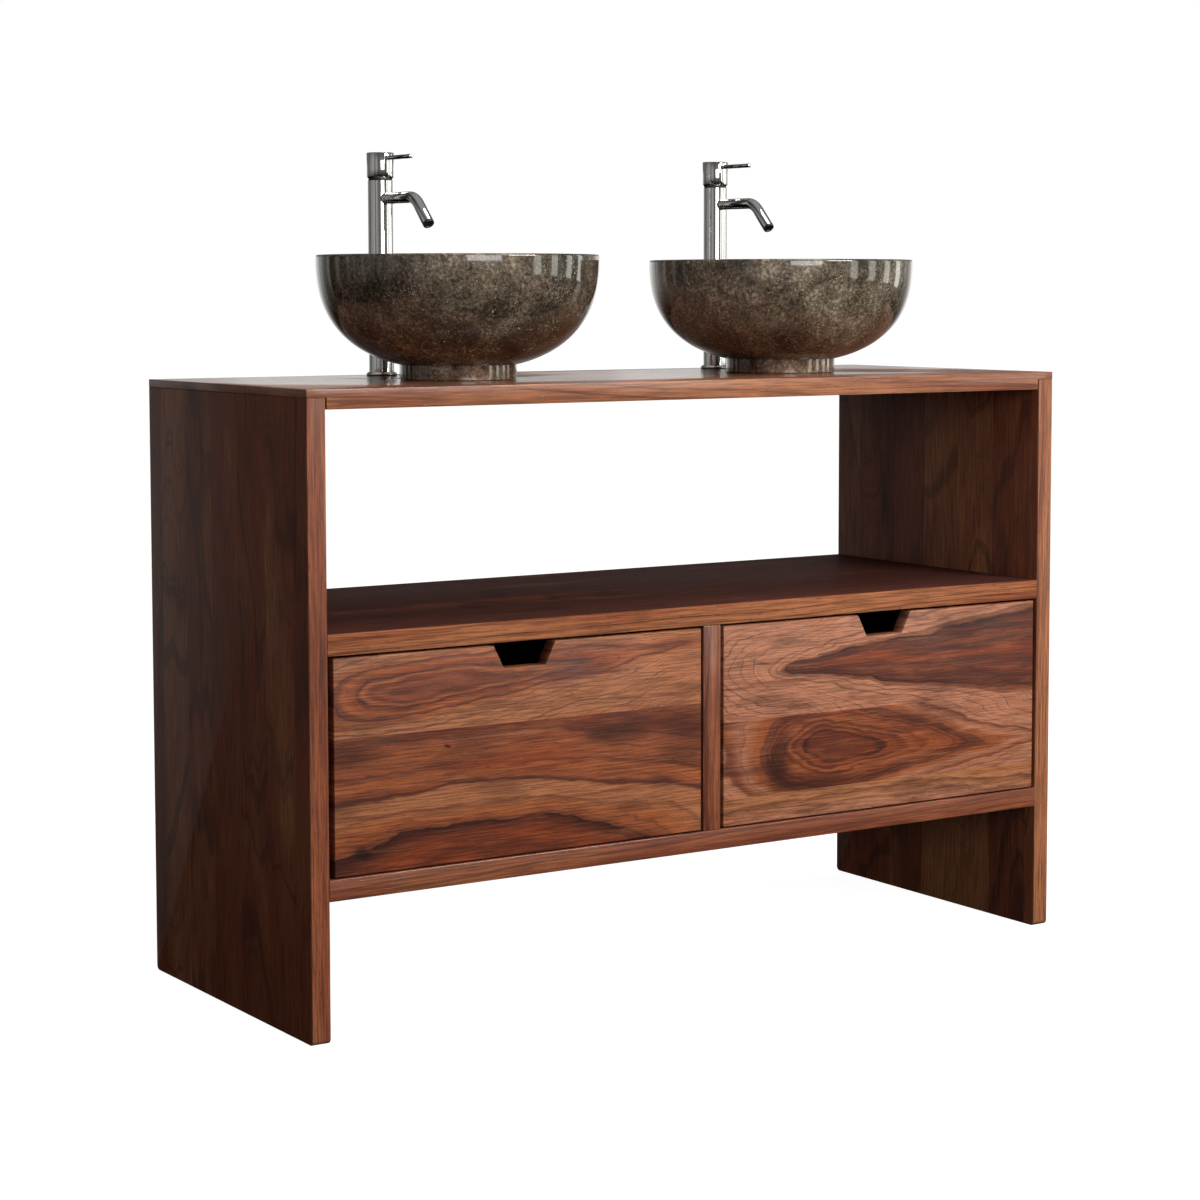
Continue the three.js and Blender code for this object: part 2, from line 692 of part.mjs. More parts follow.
function tap(side) {
  const group = placed(vanity, basinX[side] + tapOffsetX[side], tapY, height);
  const name = (piece) => `${side}_tap_${piece}`;
  const capTop = pivotZ - pivotAboveCapBottom + capHeight;
  const ringTop = baseSealThickness + baseRingThickness;
  const shankHole = shankRadius + seatGap;

  const seal = ring(shankHole, baseRingRadius - baseRingEdge, [0, baseSealThickness], tapSides);
  add(group, name("seal"), seal, rubber());
  const baseRing = turned(
    [
      [shankHole, baseSealThickness],
      [baseRingRadius, baseSealThickness],
      [baseRingRadius, baseSealThickness + baseRingEdge],
      [columnRadius + baseRingShoulder, ringTop],
      [shankHole, ringTop],
    ],
    tapSides,
  );
  add(group, name("base_ring"), baseRing, chrome());
  add(group, name("body"), columnBody(), chrome());
  add(group, name("spout"), spoutTube(), chrome());

  const outlet = placed(group, 0, -spoutReach, spoutAxisHeight - spoutDrop);
  outlet.rotation.x = Math.PI - (Math.PI / 2 - spoutBend);
  const screen = placed(outlet, 0, 0, runningGap);
  add(screen, name("aerator"), aerator(), zincedSteel());

  const washerBottom = -worktopThickness - washerThickness;
  const washer = ring(shankHole, baseRingRadius, [washerBottom, -worktopThickness], tapSides);
  add(group, name("washer"), washer, zincedSteel());
  const nutZ = [washerBottom - tapNutThickness, washerBottom];
  add(group, name("nut"), nut(tapNutRadius, 6, shankHole, nutZ, tapSides), brass());

  const recess = carrierFlangeRadius + runningGap;
  const recessFloor = cartridgeTop - carrierFlangeThickness;
  const cartridge = turned(
    [
      [0, cartridgeBottom],
      [cartridgeRadius, cartridgeBottom],
      [cartridgeRadius, cartridgeTop],
      [recess, cartridgeTop],
      [recess, recessFloor],
      [0, recessFloor],
    ],
    tapSides,
  );
  add(group, name("cartridge"), cartridge, plastic());

  const socket = stemBallRadius + swivelGap;
  const carrier = turned(
    [
      [0, recessFloor + runningGap],
      [carrierFlangeRadius, recessFloor + runningGap],
      [carrierFlangeRadius, cartridgeTop],
      [carrierNeckRadius, cartridgeTop],
      [carrierNeckRadius, pivotZ + carrierAbovePivot],
      [socket, pivotZ + carrierAbovePivot],
      [socket, pivotZ - socket],
      [0, pivotZ - socket],
    ],
    tapSides,
  );
  add(group, name("carrier"), carrier, brass());
  add(group, name("stem"), stem(), zincedSteel());
  add(group, name("cap"), handleCap(), chrome());

  const lever = turned(
    [
      [0, leverRoot],
      [leverRadius, leverRoot],
      [leverRadius, leverReach - edgeBreak],
      [leverRadius - edgeBreak, leverReach],
      [0, leverReach],
    ],
    smallSides,
  ).rotateX(Math.PI / 2).translate(0, 0, capTop - leverBelowTop);
  add(group, name("lever"), lever, chrome());
}

carcass();
for (const side of ["left", "right"]) {
  drawer(side);
  basin(side);
  tap(side);
}

export default vanity;
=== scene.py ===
"""The looks of a double-basin vanity in lacquered rosewood, built around its fixed CAD frame.

Each sub-assembly is a class that models its pieces with Blender's own mesh operators and dresses them
with procedural finishes. Sizes come from the CAD nodes' boxes, in metres, with +X to the right,
-Y towards the user and +Z up.
"""

import logging
import math
from dataclasses import dataclass, field
from enum import Enum
from typing import Callable, Iterable, Sequence

import bpy
from mathutils import Matrix, Vector


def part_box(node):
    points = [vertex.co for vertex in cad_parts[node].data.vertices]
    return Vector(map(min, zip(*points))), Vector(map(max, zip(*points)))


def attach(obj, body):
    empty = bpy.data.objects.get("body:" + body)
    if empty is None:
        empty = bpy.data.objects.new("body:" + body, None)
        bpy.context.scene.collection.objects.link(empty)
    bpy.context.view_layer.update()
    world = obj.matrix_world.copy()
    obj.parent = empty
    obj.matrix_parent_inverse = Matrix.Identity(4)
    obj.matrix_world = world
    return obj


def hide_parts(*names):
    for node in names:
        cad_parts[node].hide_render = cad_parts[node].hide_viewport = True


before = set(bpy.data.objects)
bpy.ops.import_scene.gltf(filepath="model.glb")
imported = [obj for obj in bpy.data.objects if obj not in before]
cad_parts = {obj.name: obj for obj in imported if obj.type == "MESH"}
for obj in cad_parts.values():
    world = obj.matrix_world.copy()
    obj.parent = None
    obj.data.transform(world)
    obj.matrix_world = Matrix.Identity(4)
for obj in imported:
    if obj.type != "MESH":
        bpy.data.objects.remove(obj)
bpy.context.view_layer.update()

log = logging.getLogger("vanity")

Colour = tuple[float, float, float]
Outline = list[tuple[float, float]]
Socket = bpy.types.NodeSocket


# ---- shader graphs -------------------------------------------------------------------------------
def srgb(red: int, green: int, blue: int) -> Colour:
    """Turns a colour given in 0-255 display values into the linear values that shaders take.

    Args:
        red: the red, 0 to 255.
        green: the green, 0 to 255.
        blue: the blue, 0 to 255.

    Returns:
        The linear colour.
    """
    def linear(value: int) -> float:
        """Turns one channel."""
        share = value / 255
        return share / 12.92 if share <= 0.04045 else ((share + 0.055) / 1.055) ** 2.4

    return (linear(red), linear(green), linear(blue))


class Graph:
    """The node tree of a material or a world, with short calls for the nodes that the finishes use."""

    def __init__(self, owner: bpy.types.Material | bpy.types.World) -> None:
        """Empties the tree.

        Args:
            owner: the material or the world that the tree belongs to.
        """
        owner.use_nodes = True
        self.owner = owner
        self.tree = owner.node_tree
        self.tree.nodes.clear()

    @classmethod
    def of_material(cls, name: str) -> "Graph":
        """Starts a new material."""
        return cls(bpy.data.materials.new(name))

    def node(self, kind: str, **settings: object) -> bpy.types.Node:
        """Adds a node and sets its properties.

        Args:
            kind: the node's type.
            settings: its properties, by name.

        Returns:
            The node.
        """
        made = self.tree.nodes.new(kind)
        for key, value in settings.items():
            setattr(made, key, value)
        return made

    def feed(self, socket: Socket, value: object) -> None:
        """Links a socket to a node's output, or sets its own value.

        Args:
            socket: the socket.
            value: the output to link, or the value to set.
        """
        if isinstance(value, bpy.types.NodeSocket):
            self.tree.links.new(value, socket)
        elif isinstance(value, tuple) and len(value) == 3 and socket.type == "RGBA":
            socket.default_value = (*value, 1.0)
        else:
            socket.default_value = value

    def math(self, operation: str, *values: object) -> Socket:
        """Adds a Math node and returns its value.

        Args:
            operation: the node's operation.
            values: its inputs, in order.

        Returns:
            The result.
        """
        made = self.node("ShaderNodeMath", operation=operation)
        for socket, value in zip(made.inputs, values):
            self.feed(socket, value)
        return made.outputs[0]

    def add(self, a: object, b: object) -> Socket:
        """Returns a + b."""
        return self.math("ADD", a, b)

    def times(self, a: object, b: object) -> Socket:
        """Returns a * b."""
        return self.math("MULTIPLY", a, b)

    def step(self, value: object, low: float, high: float) -> Socket:
        """Returns a smooth step of value: 0 at low and 1 at high, or the other way when low is above high.

        Args:
            value: the value.
            low: where the step is 0.
            high: where the step is 1.

        Returns:
            The step, 0 to 1.
        """
        made = self.node("ShaderNodeMapRange", interpolation_type="SMOOTHSTEP")
        self.feed(made.inputs["Value"], value)
        rising = low <= high
        made.inputs["From Min"].default_value = low if rising else high
        made.inputs["From Max"].default_value = high if rising else low
        made.inputs["To Min"].default_value = 0.0 if rising else 1.0
        made.inputs["To Max"].default_value = 1.0 if rising else 0.0
        return made.outputs["Result"]

    def mix(self, factor: object, a: object, b: object, blend: str = "MIX") -> Socket:
        """Mixes two colours.

        Args:
            factor: 0 for the first colour, 1 for the second.
            a: the first colour.
            b: the second colour.
            blend: how the second goes over the first.

        Returns:
            The mixed colour.
        """
        made = self.node("ShaderNodeMix", data_type="RGBA", blend_type=blend)
        self.feed(made.inputs[0], factor)
        self.feed(made.inputs[6], a)
        self.feed(made.inputs[7], b)
        return made.outputs[2]

    def ramp(self, factor: Socket, stops: Sequence[tuple[float, Colour]], smooth: bool = True) -> Socket:
        """Colours a value by a ramp of (position, colour) stops.

        Args:
            factor: the value.
            stops: the positions and their colours.
            smooth: whether the colours ease into each other.

        Returns:
            The colour.
        """
        made = self.node("ShaderNodeValToRGB")
        made.color_ramp.interpolation = "EASE" if smooth else "LINEAR"
        elements = made.color_ramp.elements
        while len(elements) < len(stops):
            elements.new(0.5)
        for element, (position, colour) in zip(elements, sorted(stops)):
            element.position = position
            element.color = (*colour, 1.0)
        self.feed(made.inputs[0], factor)
        return made.outputs[0]

    def place(self) -> tuple[Socket, Socket, Socket]:
        """Returns the object coordinates x, y and z, in metres.

        Returns:
            The three coordinates.
        """
        split = self.node("ShaderNodeSeparateXYZ")
        self.feed(split.inputs[0], self.node("ShaderNodeTexCoord").outputs["Object"])
        return split.outputs[0], split.outputs[1], split.outputs[2]

    def vector(self, x: object, y: object, z: object) -> Socket:
        """Makes a vector of three values.

        Args:
            x: its x.
            y: its y.
            z: its z.

        Returns:
            The vector.
        """
        made = self.node("ShaderNodeCombineXYZ")
        for socket, value in zip(made.inputs, (x, y, z)):
            self.feed(socket, value)
        return made.outputs[0]

    def noise(self, vector: Socket, detail: float = 2.0, rough: float = 0.5, distort: float = 0.0) -> Socket:
        """Samples 3-D noise at a vector that is already scaled, and returns 0 to 1.

        Args:
            vector: the scaled place.
            detail: how many octaves are added up.
            rough: how strong the finer octaves are.
            distort: how far the pattern is bent.

        Returns:
            The noise.
        """
        made = self.node("ShaderNodeTexNoise", noise_dimensions="3D")
        self.feed(made.inputs["Vector"], vector)
        made.inputs["Scale"].default_value = 1.0
        made.inputs["Detail"].default_value = detail
        made.inputs["Roughness"].default_value = rough
        made.inputs["Distortion"].default_value = distort
        return made.outputs[0]

    def noise_along(self, value: Socket, detail: float = 2.0, rough: float = 0.5) -> Socket:
        """Samples 1-D noise along a value.

        Args:
            value: the scaled place.
            detail: how many octaves are added up.
            rough: how strong the finer octaves are.

        Returns:
            The noise, 0 to 1.
        """
        made = self.node("ShaderNodeTexNoise", noise_dimensions="1D")
        self.feed(made.inputs["W"], value)
        made.inputs["Scale"].default_value = 1.0
        made.inputs["Detail"].default_value = detail
        made.inputs["Roughness"].default_value = rough
        return made.outputs[0]

    def chance(self, value: Socket) -> tuple[Socket, Socket, Socket]:
        """Returns three random values, 0 to 1, that belong to a whole number.

        Args:
            value: the whole number.

        Returns:
            The three values.
        """
        made = self.node("ShaderNodeTexWhiteNoise", noise_dimensions="1D")
        self.feed(made.inputs["W"], value)
        split = self.node("ShaderNodeSeparateXYZ")
        self.feed(split.inputs[0], made.outputs["Color"])
        return split.outputs[0], split.outputs[1], split.outputs[2]

    def bump(self, height: Socket, distance: float, strength: float = 1.0, under: object = None) -> Socket:
        """Turns a height from 0 to 1 into a bumped normal, over another one if given.

        Args:
            height: the height.
            distance: how high 1 stands, in metres.
            strength: how much of the bump shows.
            under: the normal below, or None.

        Returns:
            The normal.
        """
        made = self.node("ShaderNodeBump")
        self.feed(made.inputs["Height"], height)
        made.inputs["Distance"].default_value = distance
        made.inputs["Strength"].default_value = strength
        if under is not None:
            self.feed(made.inputs["Normal"], under)
        return made.outputs[0]

    def surface(self, colour: object, roughness: object, normal: object = None, **fixed: object) -> None:
        """Closes the tree with a Principled shader.

        Args:
            colour: the base colour.
            roughness: the base roughness.
            normal: a bumped normal, or None.
            fixed: values set on the shader's other sockets, with _ for each space in their names.
        """
        shader = self.node("ShaderNodeBsdfPrincipled")
        self.feed(shader.inputs["Base Color"], colour)
        self.feed(shader.inputs["Roughness"], roughness)
        if normal is not None:
            self.feed(shader.inputs["Normal"], normal)
            if fixed.get("Coat_Weight"):
                self.feed(shader.inputs["Coat Normal"], normal)
        for key, value in fixed.items():
            self.feed(shader.inputs[key.replace("_", " ")], value)
        output = self.node("ShaderNodeOutputMaterial")
        self.tree.links.new(shader.outputs[0], output.inputs["Surface"])


# ---- finishes ------------------------------------------------------------------------------------
class Grain(Enum):
    """Which way a board's grain runs, and which way its planks lie side by side."""

    ALONG_X_UPRIGHT = "x, planks over each other in z"
    ALONG_X_FLAT = "x, planks beside each other in y"
    UPRIGHT = "z, planks beside each other in y"
    ALONG_Y = "y, planks over each other in z"


TAN = srgb(168, 108, 74)
ORANGE = srgb(160, 90, 54)
RUST = srgb(144, 70, 40)
RED_BROWN = srgb(134, 74, 50)
DARK_RED = srgb(106, 52, 36)
PURPLE_BROWN = srgb(80, 46, 39)
NEAR_BLACK = srgb(42, 27, 25)
ROSE_TAN = srgb(182, 122, 94)
BOX_LIGHT = srgb(206, 146, 110)
BOX_MIDDLE = srgb(186, 120, 86)
BOX_DARK = srgb(152, 92, 64)


@dataclass(frozen=True)
class Rosewood:
    """Lacquered rosewood boards: planks cut at different depths of the log, streaked and pored.

    Attributes:
        name: the material's name.
        grain: which way the grain runs.
        seed: picks the planks' patterns.
        plank: a plank's width.
        darkness: 0.5 for wood of a middle tone, more for darker wood.
        figure: how strongly the growth rings show.
        gloss: 1 for a polished board, less for one rubbed down.
        light: the lightest tone.
        middle: the middle tone.
        dark: the darkest tone.
        satin: how much rougher than usual the lacquer is.
        front: where the board's front edge stands, across its planks; painted light is added along that edge.
        front_painted_light: how much painted light makes the front edge lighter, as if lit by the lamps in
            front.
    """

    name: str
    grain: Grain
    seed: float = 0.0
    plank: float = 0.095
    darkness: float = 0.5
    figure: float = 1.0
    gloss: float = 1.0
    light: Colour = TAN
    middle: Colour = RED_BROWN
    dark: Colour = PURPLE_BROWN
    satin: float = 0.0
    front: float = -1.0
    front_painted_light: float = 0.10

    def make(self) -> bpy.types.Material:
        """Returns the material.

        Returns:
            The material.
        """
        g = Graph.of_material(self.name)
        along, across, through = self.directions(g)
        colour = self.colour(g, along, across, through)
        finish_lacquer(g, colour, along, across, through, self.gloss, self.satin)
        return g.owner

    def directions(self, g: Graph) -> tuple[Socket, Socket, Socket]:
        """Returns the coordinates along the grain, across the planks and through the board.

        Args:
            g: the graph of the material.

        Returns:
            The three coordinates.
        """
        x, y, z = g.place()
        return {
            Grain.ALONG_X_UPRIGHT: (x, z, y),
            Grain.ALONG_X_FLAT: (x, y, z),
            Grain.UPRIGHT: (z, y, x),
            Grain.ALONG_Y: (y, z, x),
        }[self.grain]

    def colour(self, g: Graph, along: Socket, across: Socket, through: Socket) -> Socket:
        """Returns the wood's colour: growth rings about a slanted heart, tinted plank by plank.

        Args:
            g: the graph of the material.
            along: the coordinate along the grain.
            across: the coordinate across the planks.
            through: the coordinate through the board.

        Returns:
            The colour.
        """
        index = g.math("FLOOR", g.times(g.add(across, self.seed * 0.37), 1 / self.plank))
        tone, depth, slant = g.chance(g.add(index, self.seed * 7.0))
        place = g.vector(g.times(along, 2.2), g.times(across, 9.0), g.add(g.times(through, 9.0), self.seed))
        wander = g.math("SUBTRACT", g.noise(place, 2.0), 0.5)
        centre = g.times(g.add(index, tone), self.plank)
        aside = g.add(g.math("SUBTRACT", g.add(across, self.seed * 0.37), centre), g.times(wander, 0.045))
        tilt = g.times(g.math("SUBTRACT", slant, 0.5), 0.16)
        deep = g.add(g.add(through, g.times(depth, 0.05)), g.add(g.times(along, tilt), g.times(wander, 0.03)))
        rings = g.math("SQRT", g.add(g.times(aside, aside), g.times(deep, deep)))
        shifted = g.add(rings, g.times(tone, 3.0))
        broad = g.noise_along(g.times(shifted, 46.0), 2.0, 0.55)
        lines = g.noise_along(g.times(shifted, 240.0), 3.0, 0.6)
        patch = g.noise(g.vector(g.times(along, 3.0), g.times(across, 14.0), self.seed), 3.0, 0.55)
        mix = g.add(g.times(broad, 0.55 * self.figure), g.times(patch, 0.45))
        mix = g.add(mix, g.times(g.math("SUBTRACT", tone, 0.5), 0.22))
        mix = g.add(mix, 0.5 - 0.275 * self.figure - 0.225 + 0.6 * (0.5 - self.darkness))
        # painted light: the board's front edge, which faces the lamps, is made lighter than its face
        edge = g.step(across, self.front + 0.0035, self.front + 0.002)
        mix = g.add(mix, g.times(edge, self.front_painted_light))
        base = g.ramp(mix, [(0.30, self.dark), (0.46, self.middle), (0.66, self.light)])
        streak = g.times(g.step(lines, 0.47, 0.33), 0.75 * self.figure)
        return g.mix(streak, base, g.mix(0.6, self.dark, NEAR_BLACK))


@dataclass(frozen=True)
class Figure:
    """One plank with growth rings about a drop-shaped heart, in metres on the face of a board.

    A ring's number is 1 on the drop that reaches `left`, `right` and `half` from the heart. `spread` widens
    the drop to the right, or narrows it when negative, and `bands` colours the rings by their numbers.
    """

    low: float
    high: float
    heart: tuple[float, float]
    left: float
    right: float
    half: float
    slope: float
    spread: float
    bands: tuple[tuple[float, Colour], ...]
    lines: float = 9.0


@dataclass(frozen=True)
class Cloud:
    """A soft patch of another colour in the wood, in metres on the face of a board."""

    centre: tuple[float, float]
    radii: tuple[float, float]
    colour: Colour
    strength: float
    blend: str = "MIX"


@dataclass(frozen=True)
class FiguredFront:
    """A drawer front glued up from planks with bold figures."""

    name: str
    seed: float
    figures: tuple[Figure, ...]
    clouds: tuple[Cloud, ...] = ()

    def make(self) -> bpy.types.Material:
        """Returns the material.

        Returns:
            The material.
        """
        g = Graph.of_material(self.name)
        x, y, z = g.place()
        drift = g.noise(g.vector(g.times(x, 9.0), g.times(z, 22.0), self.seed), 3.0, 0.55)
        sway = g.noise(g.vector(g.times(x, 6.0), g.times(z, 15.0), self.seed + 5.0), 2.0)
        warp_x = g.add(x, g.times(g.math("SUBTRACT", sway, 0.5), 0.09))
        warp_z = g.add(z, g.times(g.math("SUBTRACT", drift, 0.5), 0.030))
        colour: object = TAN
        for number, figure in enumerate(self.figures):
            plank = self.plank(g, figure, warp_x, warp_z, x, z, self.seed + 3.0 * number)
            above = g.step(z, figure.low - 0.0002, figure.low + 0.0002)
            below = g.step(z, figure.high + 0.0002, figure.high - 0.0002)
            colour = g.mix(g.times(above, below), colour, plank)
        for cloud in self.clouds:
            dx = g.times(g.math("SUBTRACT", warp_x, cloud.centre[0]), 1 / cloud.radii[0])
            dz = g.times(g.math("SUBTRACT", warp_z, cloud.centre[1]), 1 / cloud.radii[1])
            near = g.math("SQRT", g.add(g.times(dx, dx), g.times(dz, dz)))
            strength = g.times(g.step(near, 1.25, 0.35), cloud.strength)
            colour = g.mix(strength, colour, cloud.colour, cloud.blend)
        finish_lacquer(g, colour, x, z, y, 0.35)
        return g.owner

    @staticmethod
    def plank(
        g: Graph, figure: Figure, warp_x: Socket, warp_z: Socket, x: Socket, z: Socket, seed: float,
    ) -> Socket:
        """Returns one plank's colour.

        Args:
            g: the graph of the material.
            figure: the plank's rings.
            warp_x: the place along the board, with its slow drift.
            warp_z: the height on the board, with its slow drift.
            x: the place along the board.
            z: the height on the board.
            seed: picks the plank's own streaks.

        Returns:
            The colour.
        """
        aside = g.math("SUBTRACT", warp_x, figure.heart[0])
        rise = g.math("SUBTRACT", warp_z, figure.heart[1])
        rise = g.math("SUBTRACT", rise, g.times(aside, figure.slope))
        leftward = g.times(g.math("MINIMUM", aside, 0.0), 1 / figure.left)
        rightward = g.times(g.math("MAXIMUM", aside, 0.0), 1 / figure.right)
        across = g.add(leftward, rightward)
        widen = g.add(g.times(g.math("MAXIMUM", aside, 0.0), figure.spread), 1.0)
        up = g.math("DIVIDE", rise, g.times(g.math("MAXIMUM", widen, 0.12), figure.half))
        ring = g.math("SQRT", g.add(g.times(across, across), g.times(up, up)))
        shifted = g.add(ring, seed)
        lines = g.noise_along(g.times(shifted, figure.lines), 4.0, 0.65)
        patch = g.noise(g.vector(g.times(x, 7.0), g.times(z, 26.0), seed + 9.0), 4.0, 0.6)
        streaks = g.noise(g.vector(g.times(x, 4.5), g.times(z, 75.0), seed), 4.0, 0.62)
        reach = figure.bands[-1][0]
        blurred = g.add(ring, g.times(g.math("SUBTRACT", streaks, 0.5), 0.10))
        colour = g.ramp(g.times(blurred, 1 / reach), [(d / reach, tint) for d, tint in figure.bands], False)
        colour = g.mix(g.times(g.step(patch, 0.50, 0.36), 0.45), colour, PURPLE_BROWN)
        colour = g.mix(g.times(g.step(patch, 0.54, 0.68), 0.35), colour, ORANGE)
        colour = g.mix(g.times(g.step(lines, 0.49, 0.36), 0.60), colour, PURPLE_BROWN)
        colour = g.mix(g.times(g.step(streaks, 0.47, 0.30), 0.65), colour, DARK_RED)
        return g.mix(g.times(g.step(streaks, 0.54, 0.74), 0.45), colour, TAN)


LEFT_FRONT = FiguredFront(
    "left_front_rosewood", 11.0,
    (
        Figure(0.3775, 0.480, (-0.470, 0.431), 0.094, 0.430, 0.035, 0.065, -1.5, (
            (0.0, DARK_RED), (0.22, RED_BROWN), (0.36, DARK_RED), (0.50, ORANGE), (0.60, PURPLE_BROWN),
            (0.68, RUST), (0.84, ORANGE), (0.95, RED_BROWN), (1.0, PURPLE_BROWN), (1.05, ORANGE),
            (1.30, TAN), (2.6, TAN),
        )),
        Figure(0.200, 0.3775, (-0.333, 0.188), 0.270, 0.250, 0.067, -0.03, 0.0, (
            (0.0, PURPLE_BROWN), (0.30, RUST), (0.50, DARK_RED), (0.68, RUST), (0.86, DARK_RED),
            (1.0, NEAR_BLACK), (1.04, RED_BROWN), (1.16, ORANGE), (1.40, TAN), (1.66, TAN),
            (1.72, PURPLE_BROWN), (1.77, RED_BROWN), (1.98, ORANGE), (2.20, RED_BROWN), (2.36, ORANGE),
            (2.6, RED_BROWN), (2.8, DARK_RED), (3.2, RED_BROWN),
        ), 7.0),
    ),
    (
        Cloud((-0.300, 0.330), (0.120, 0.016), RUST, 0.55),
        Cloud((-0.150, 0.350), (0.075, 0.020), NEAR_BLACK, 0.60),
        Cloud((-0.035, 0.352), (0.045, 0.020), NEAR_BLACK, 0.45),
        Cloud((-0.040, 0.312), (0.040, 0.024), NEAR_BLACK, 0.50),
        Cloud((-0.545, 0.350), (0.060, 0.018), NEAR_BLACK, 0.55),
        Cloud((-0.541, 0.236), (0.014, 0.009), NEAR_BLACK, 0.85),
        Cloud((-0.240, 0.436), (0.060, 0.022), srgb(96, 66, 60), 0.55),
        Cloud((-0.405, 0.3595), (0.0035, 0.003), NEAR_BLACK, 0.9),
    ),
)
RIGHT_FRONT = FiguredFront(
    "right_front_rosewood", 23.0,
    (
        Figure(0.3475, 0.480, (0.158, 0.414), 0.030, 4.0, 0.0105, -0.01, 10.5, (
            (0.0, RUST), (0.16, DARK_RED), (0.30, PURPLE_BROWN), (0.42, RED_BROWN), (0.52, DARK_RED),
            (0.66, PURPLE_BROWN), (0.80, DARK_RED), (0.90, PURPLE_BROWN), (1.0, NEAR_BLACK),
            (1.07, RED_BROWN), (1.22, ROSE_TAN), (9.0, ROSE_TAN),
        ), 4.0),
        Figure(0.2435, 0.3475, (0.205, 0.299), 0.118, 0.250, 0.056, -0.05, -2.3, (
            (0.0, DARK_RED), (0.30, DARK_RED), (0.37, NEAR_BLACK), (0.41, RUST), (0.50, DARK_RED),
            (0.56, ORANGE), (0.64, DARK_RED), (0.70, ORANGE), (0.80, RED_BROWN), (0.92, RUST),
            (1.0, PURPLE_BROWN), (1.06, RED_BROWN), (1.25, ORANGE), (1.45, ROSE_TAN), (1.60, RED_BROWN),
            (1.75, ROSE_TAN), (3.0, ROSE_TAN),
        ), 7.0),
        Figure(0.200, 0.2435, (0.300, 0.080), 0.600, 0.600, 0.110, 0.0, 0.0, (
            (0.0, ROSE_TAN), (1.2, ROSE_TAN), (1.4, srgb(178, 118, 80)), (2.4, ROSE_TAN),
        )),
    ),
    (
        Cloud((0.116, 0.288), (0.026, 0.042), NEAR_BLACK, 0.78),
        Cloud((0.165, 0.254), (0.080, 0.014), NEAR_BLACK, 0.60),
        Cloud((0.165, 0.405), (0.060, 0.008), NEAR_BLACK, 0.50),
        Cloud((0.430, 0.368), (0.120, 0.012), PURPLE_BROWN, 0.55),
        Cloud((0.085, 0.423), (0.022, 0.0035), NEAR_BLACK, 0.55),
        Cloud((0.260, 0.418), (0.080, 0.006), RUST, 0.6),
        Cloud((0.460, 0.452), (0.080, 0.020), NEAR_BLACK, 0.35),
        Cloud((0.360, 0.290), (0.070, 0.014), RUST, 0.4),
    ),
)


def finish_lacquer(
    g: Graph, colour: Socket, along: Socket, across: Socket, through: Socket, gloss: float = 1.0,
    satin: float = 0.0,
) -> None:
    """Adds fibres and pores to a wood colour and closes it with a clear lacquer.

    Args:
        g: the graph of the material.
        colour: the wood's colour before its fibres.
        along: the coordinate along the grain.
        across: the coordinate across the planks.
        through: the coordinate through the board.
        gloss: 1 for a polished board, less for one rubbed down.
        satin: how much rougher than usual the lacquer is.
    """
    fibre = g.noise(g.vector(g.times(along, 16.0), g.times(across, 520.0), g.times(through, 520.0)), 3.0, 0.6)
    colour = g.mix(g.step(fibre, 0.62, 0.36), colour, g.mix(0.5, colour, NEAR_BLACK))
    colour = g.mix(g.times(g.step(fibre, 0.55, 0.75), 0.35), colour, g.mix(0.5, colour, TAN))
    pore = g.noise(g.vector(g.times(along, 70.0), g.times(across, 900.0), g.times(through, 900.0)), 1.0)
    pores = g.step(pore, 0.64, 0.72)
    colour = g.mix(g.times(pores, 0.55), colour, NEAR_BLACK)
    peel = g.noise(g.vector(g.times(along, 22.0), g.times(across, 34.0), g.times(through, 34.0)), 1.0)
    normal = g.bump(peel, 0.0004, 0.35)
    normal = g.bump(g.math("SUBTRACT", 1.0, pores), 0.00012, 0.5, normal)
    rough = g.add(g.times(fibre, 0.10), 0.42 - 0.15 * gloss + satin)
    g.surface(
        colour, rough, normal, IOR=1.42, Specular_IOR_Level=0.5 * gloss, Coat_Weight=0.35 * gloss,
        Coat_Roughness=0.25 - 0.18 * gloss, Coat_IOR=1.5,
    )


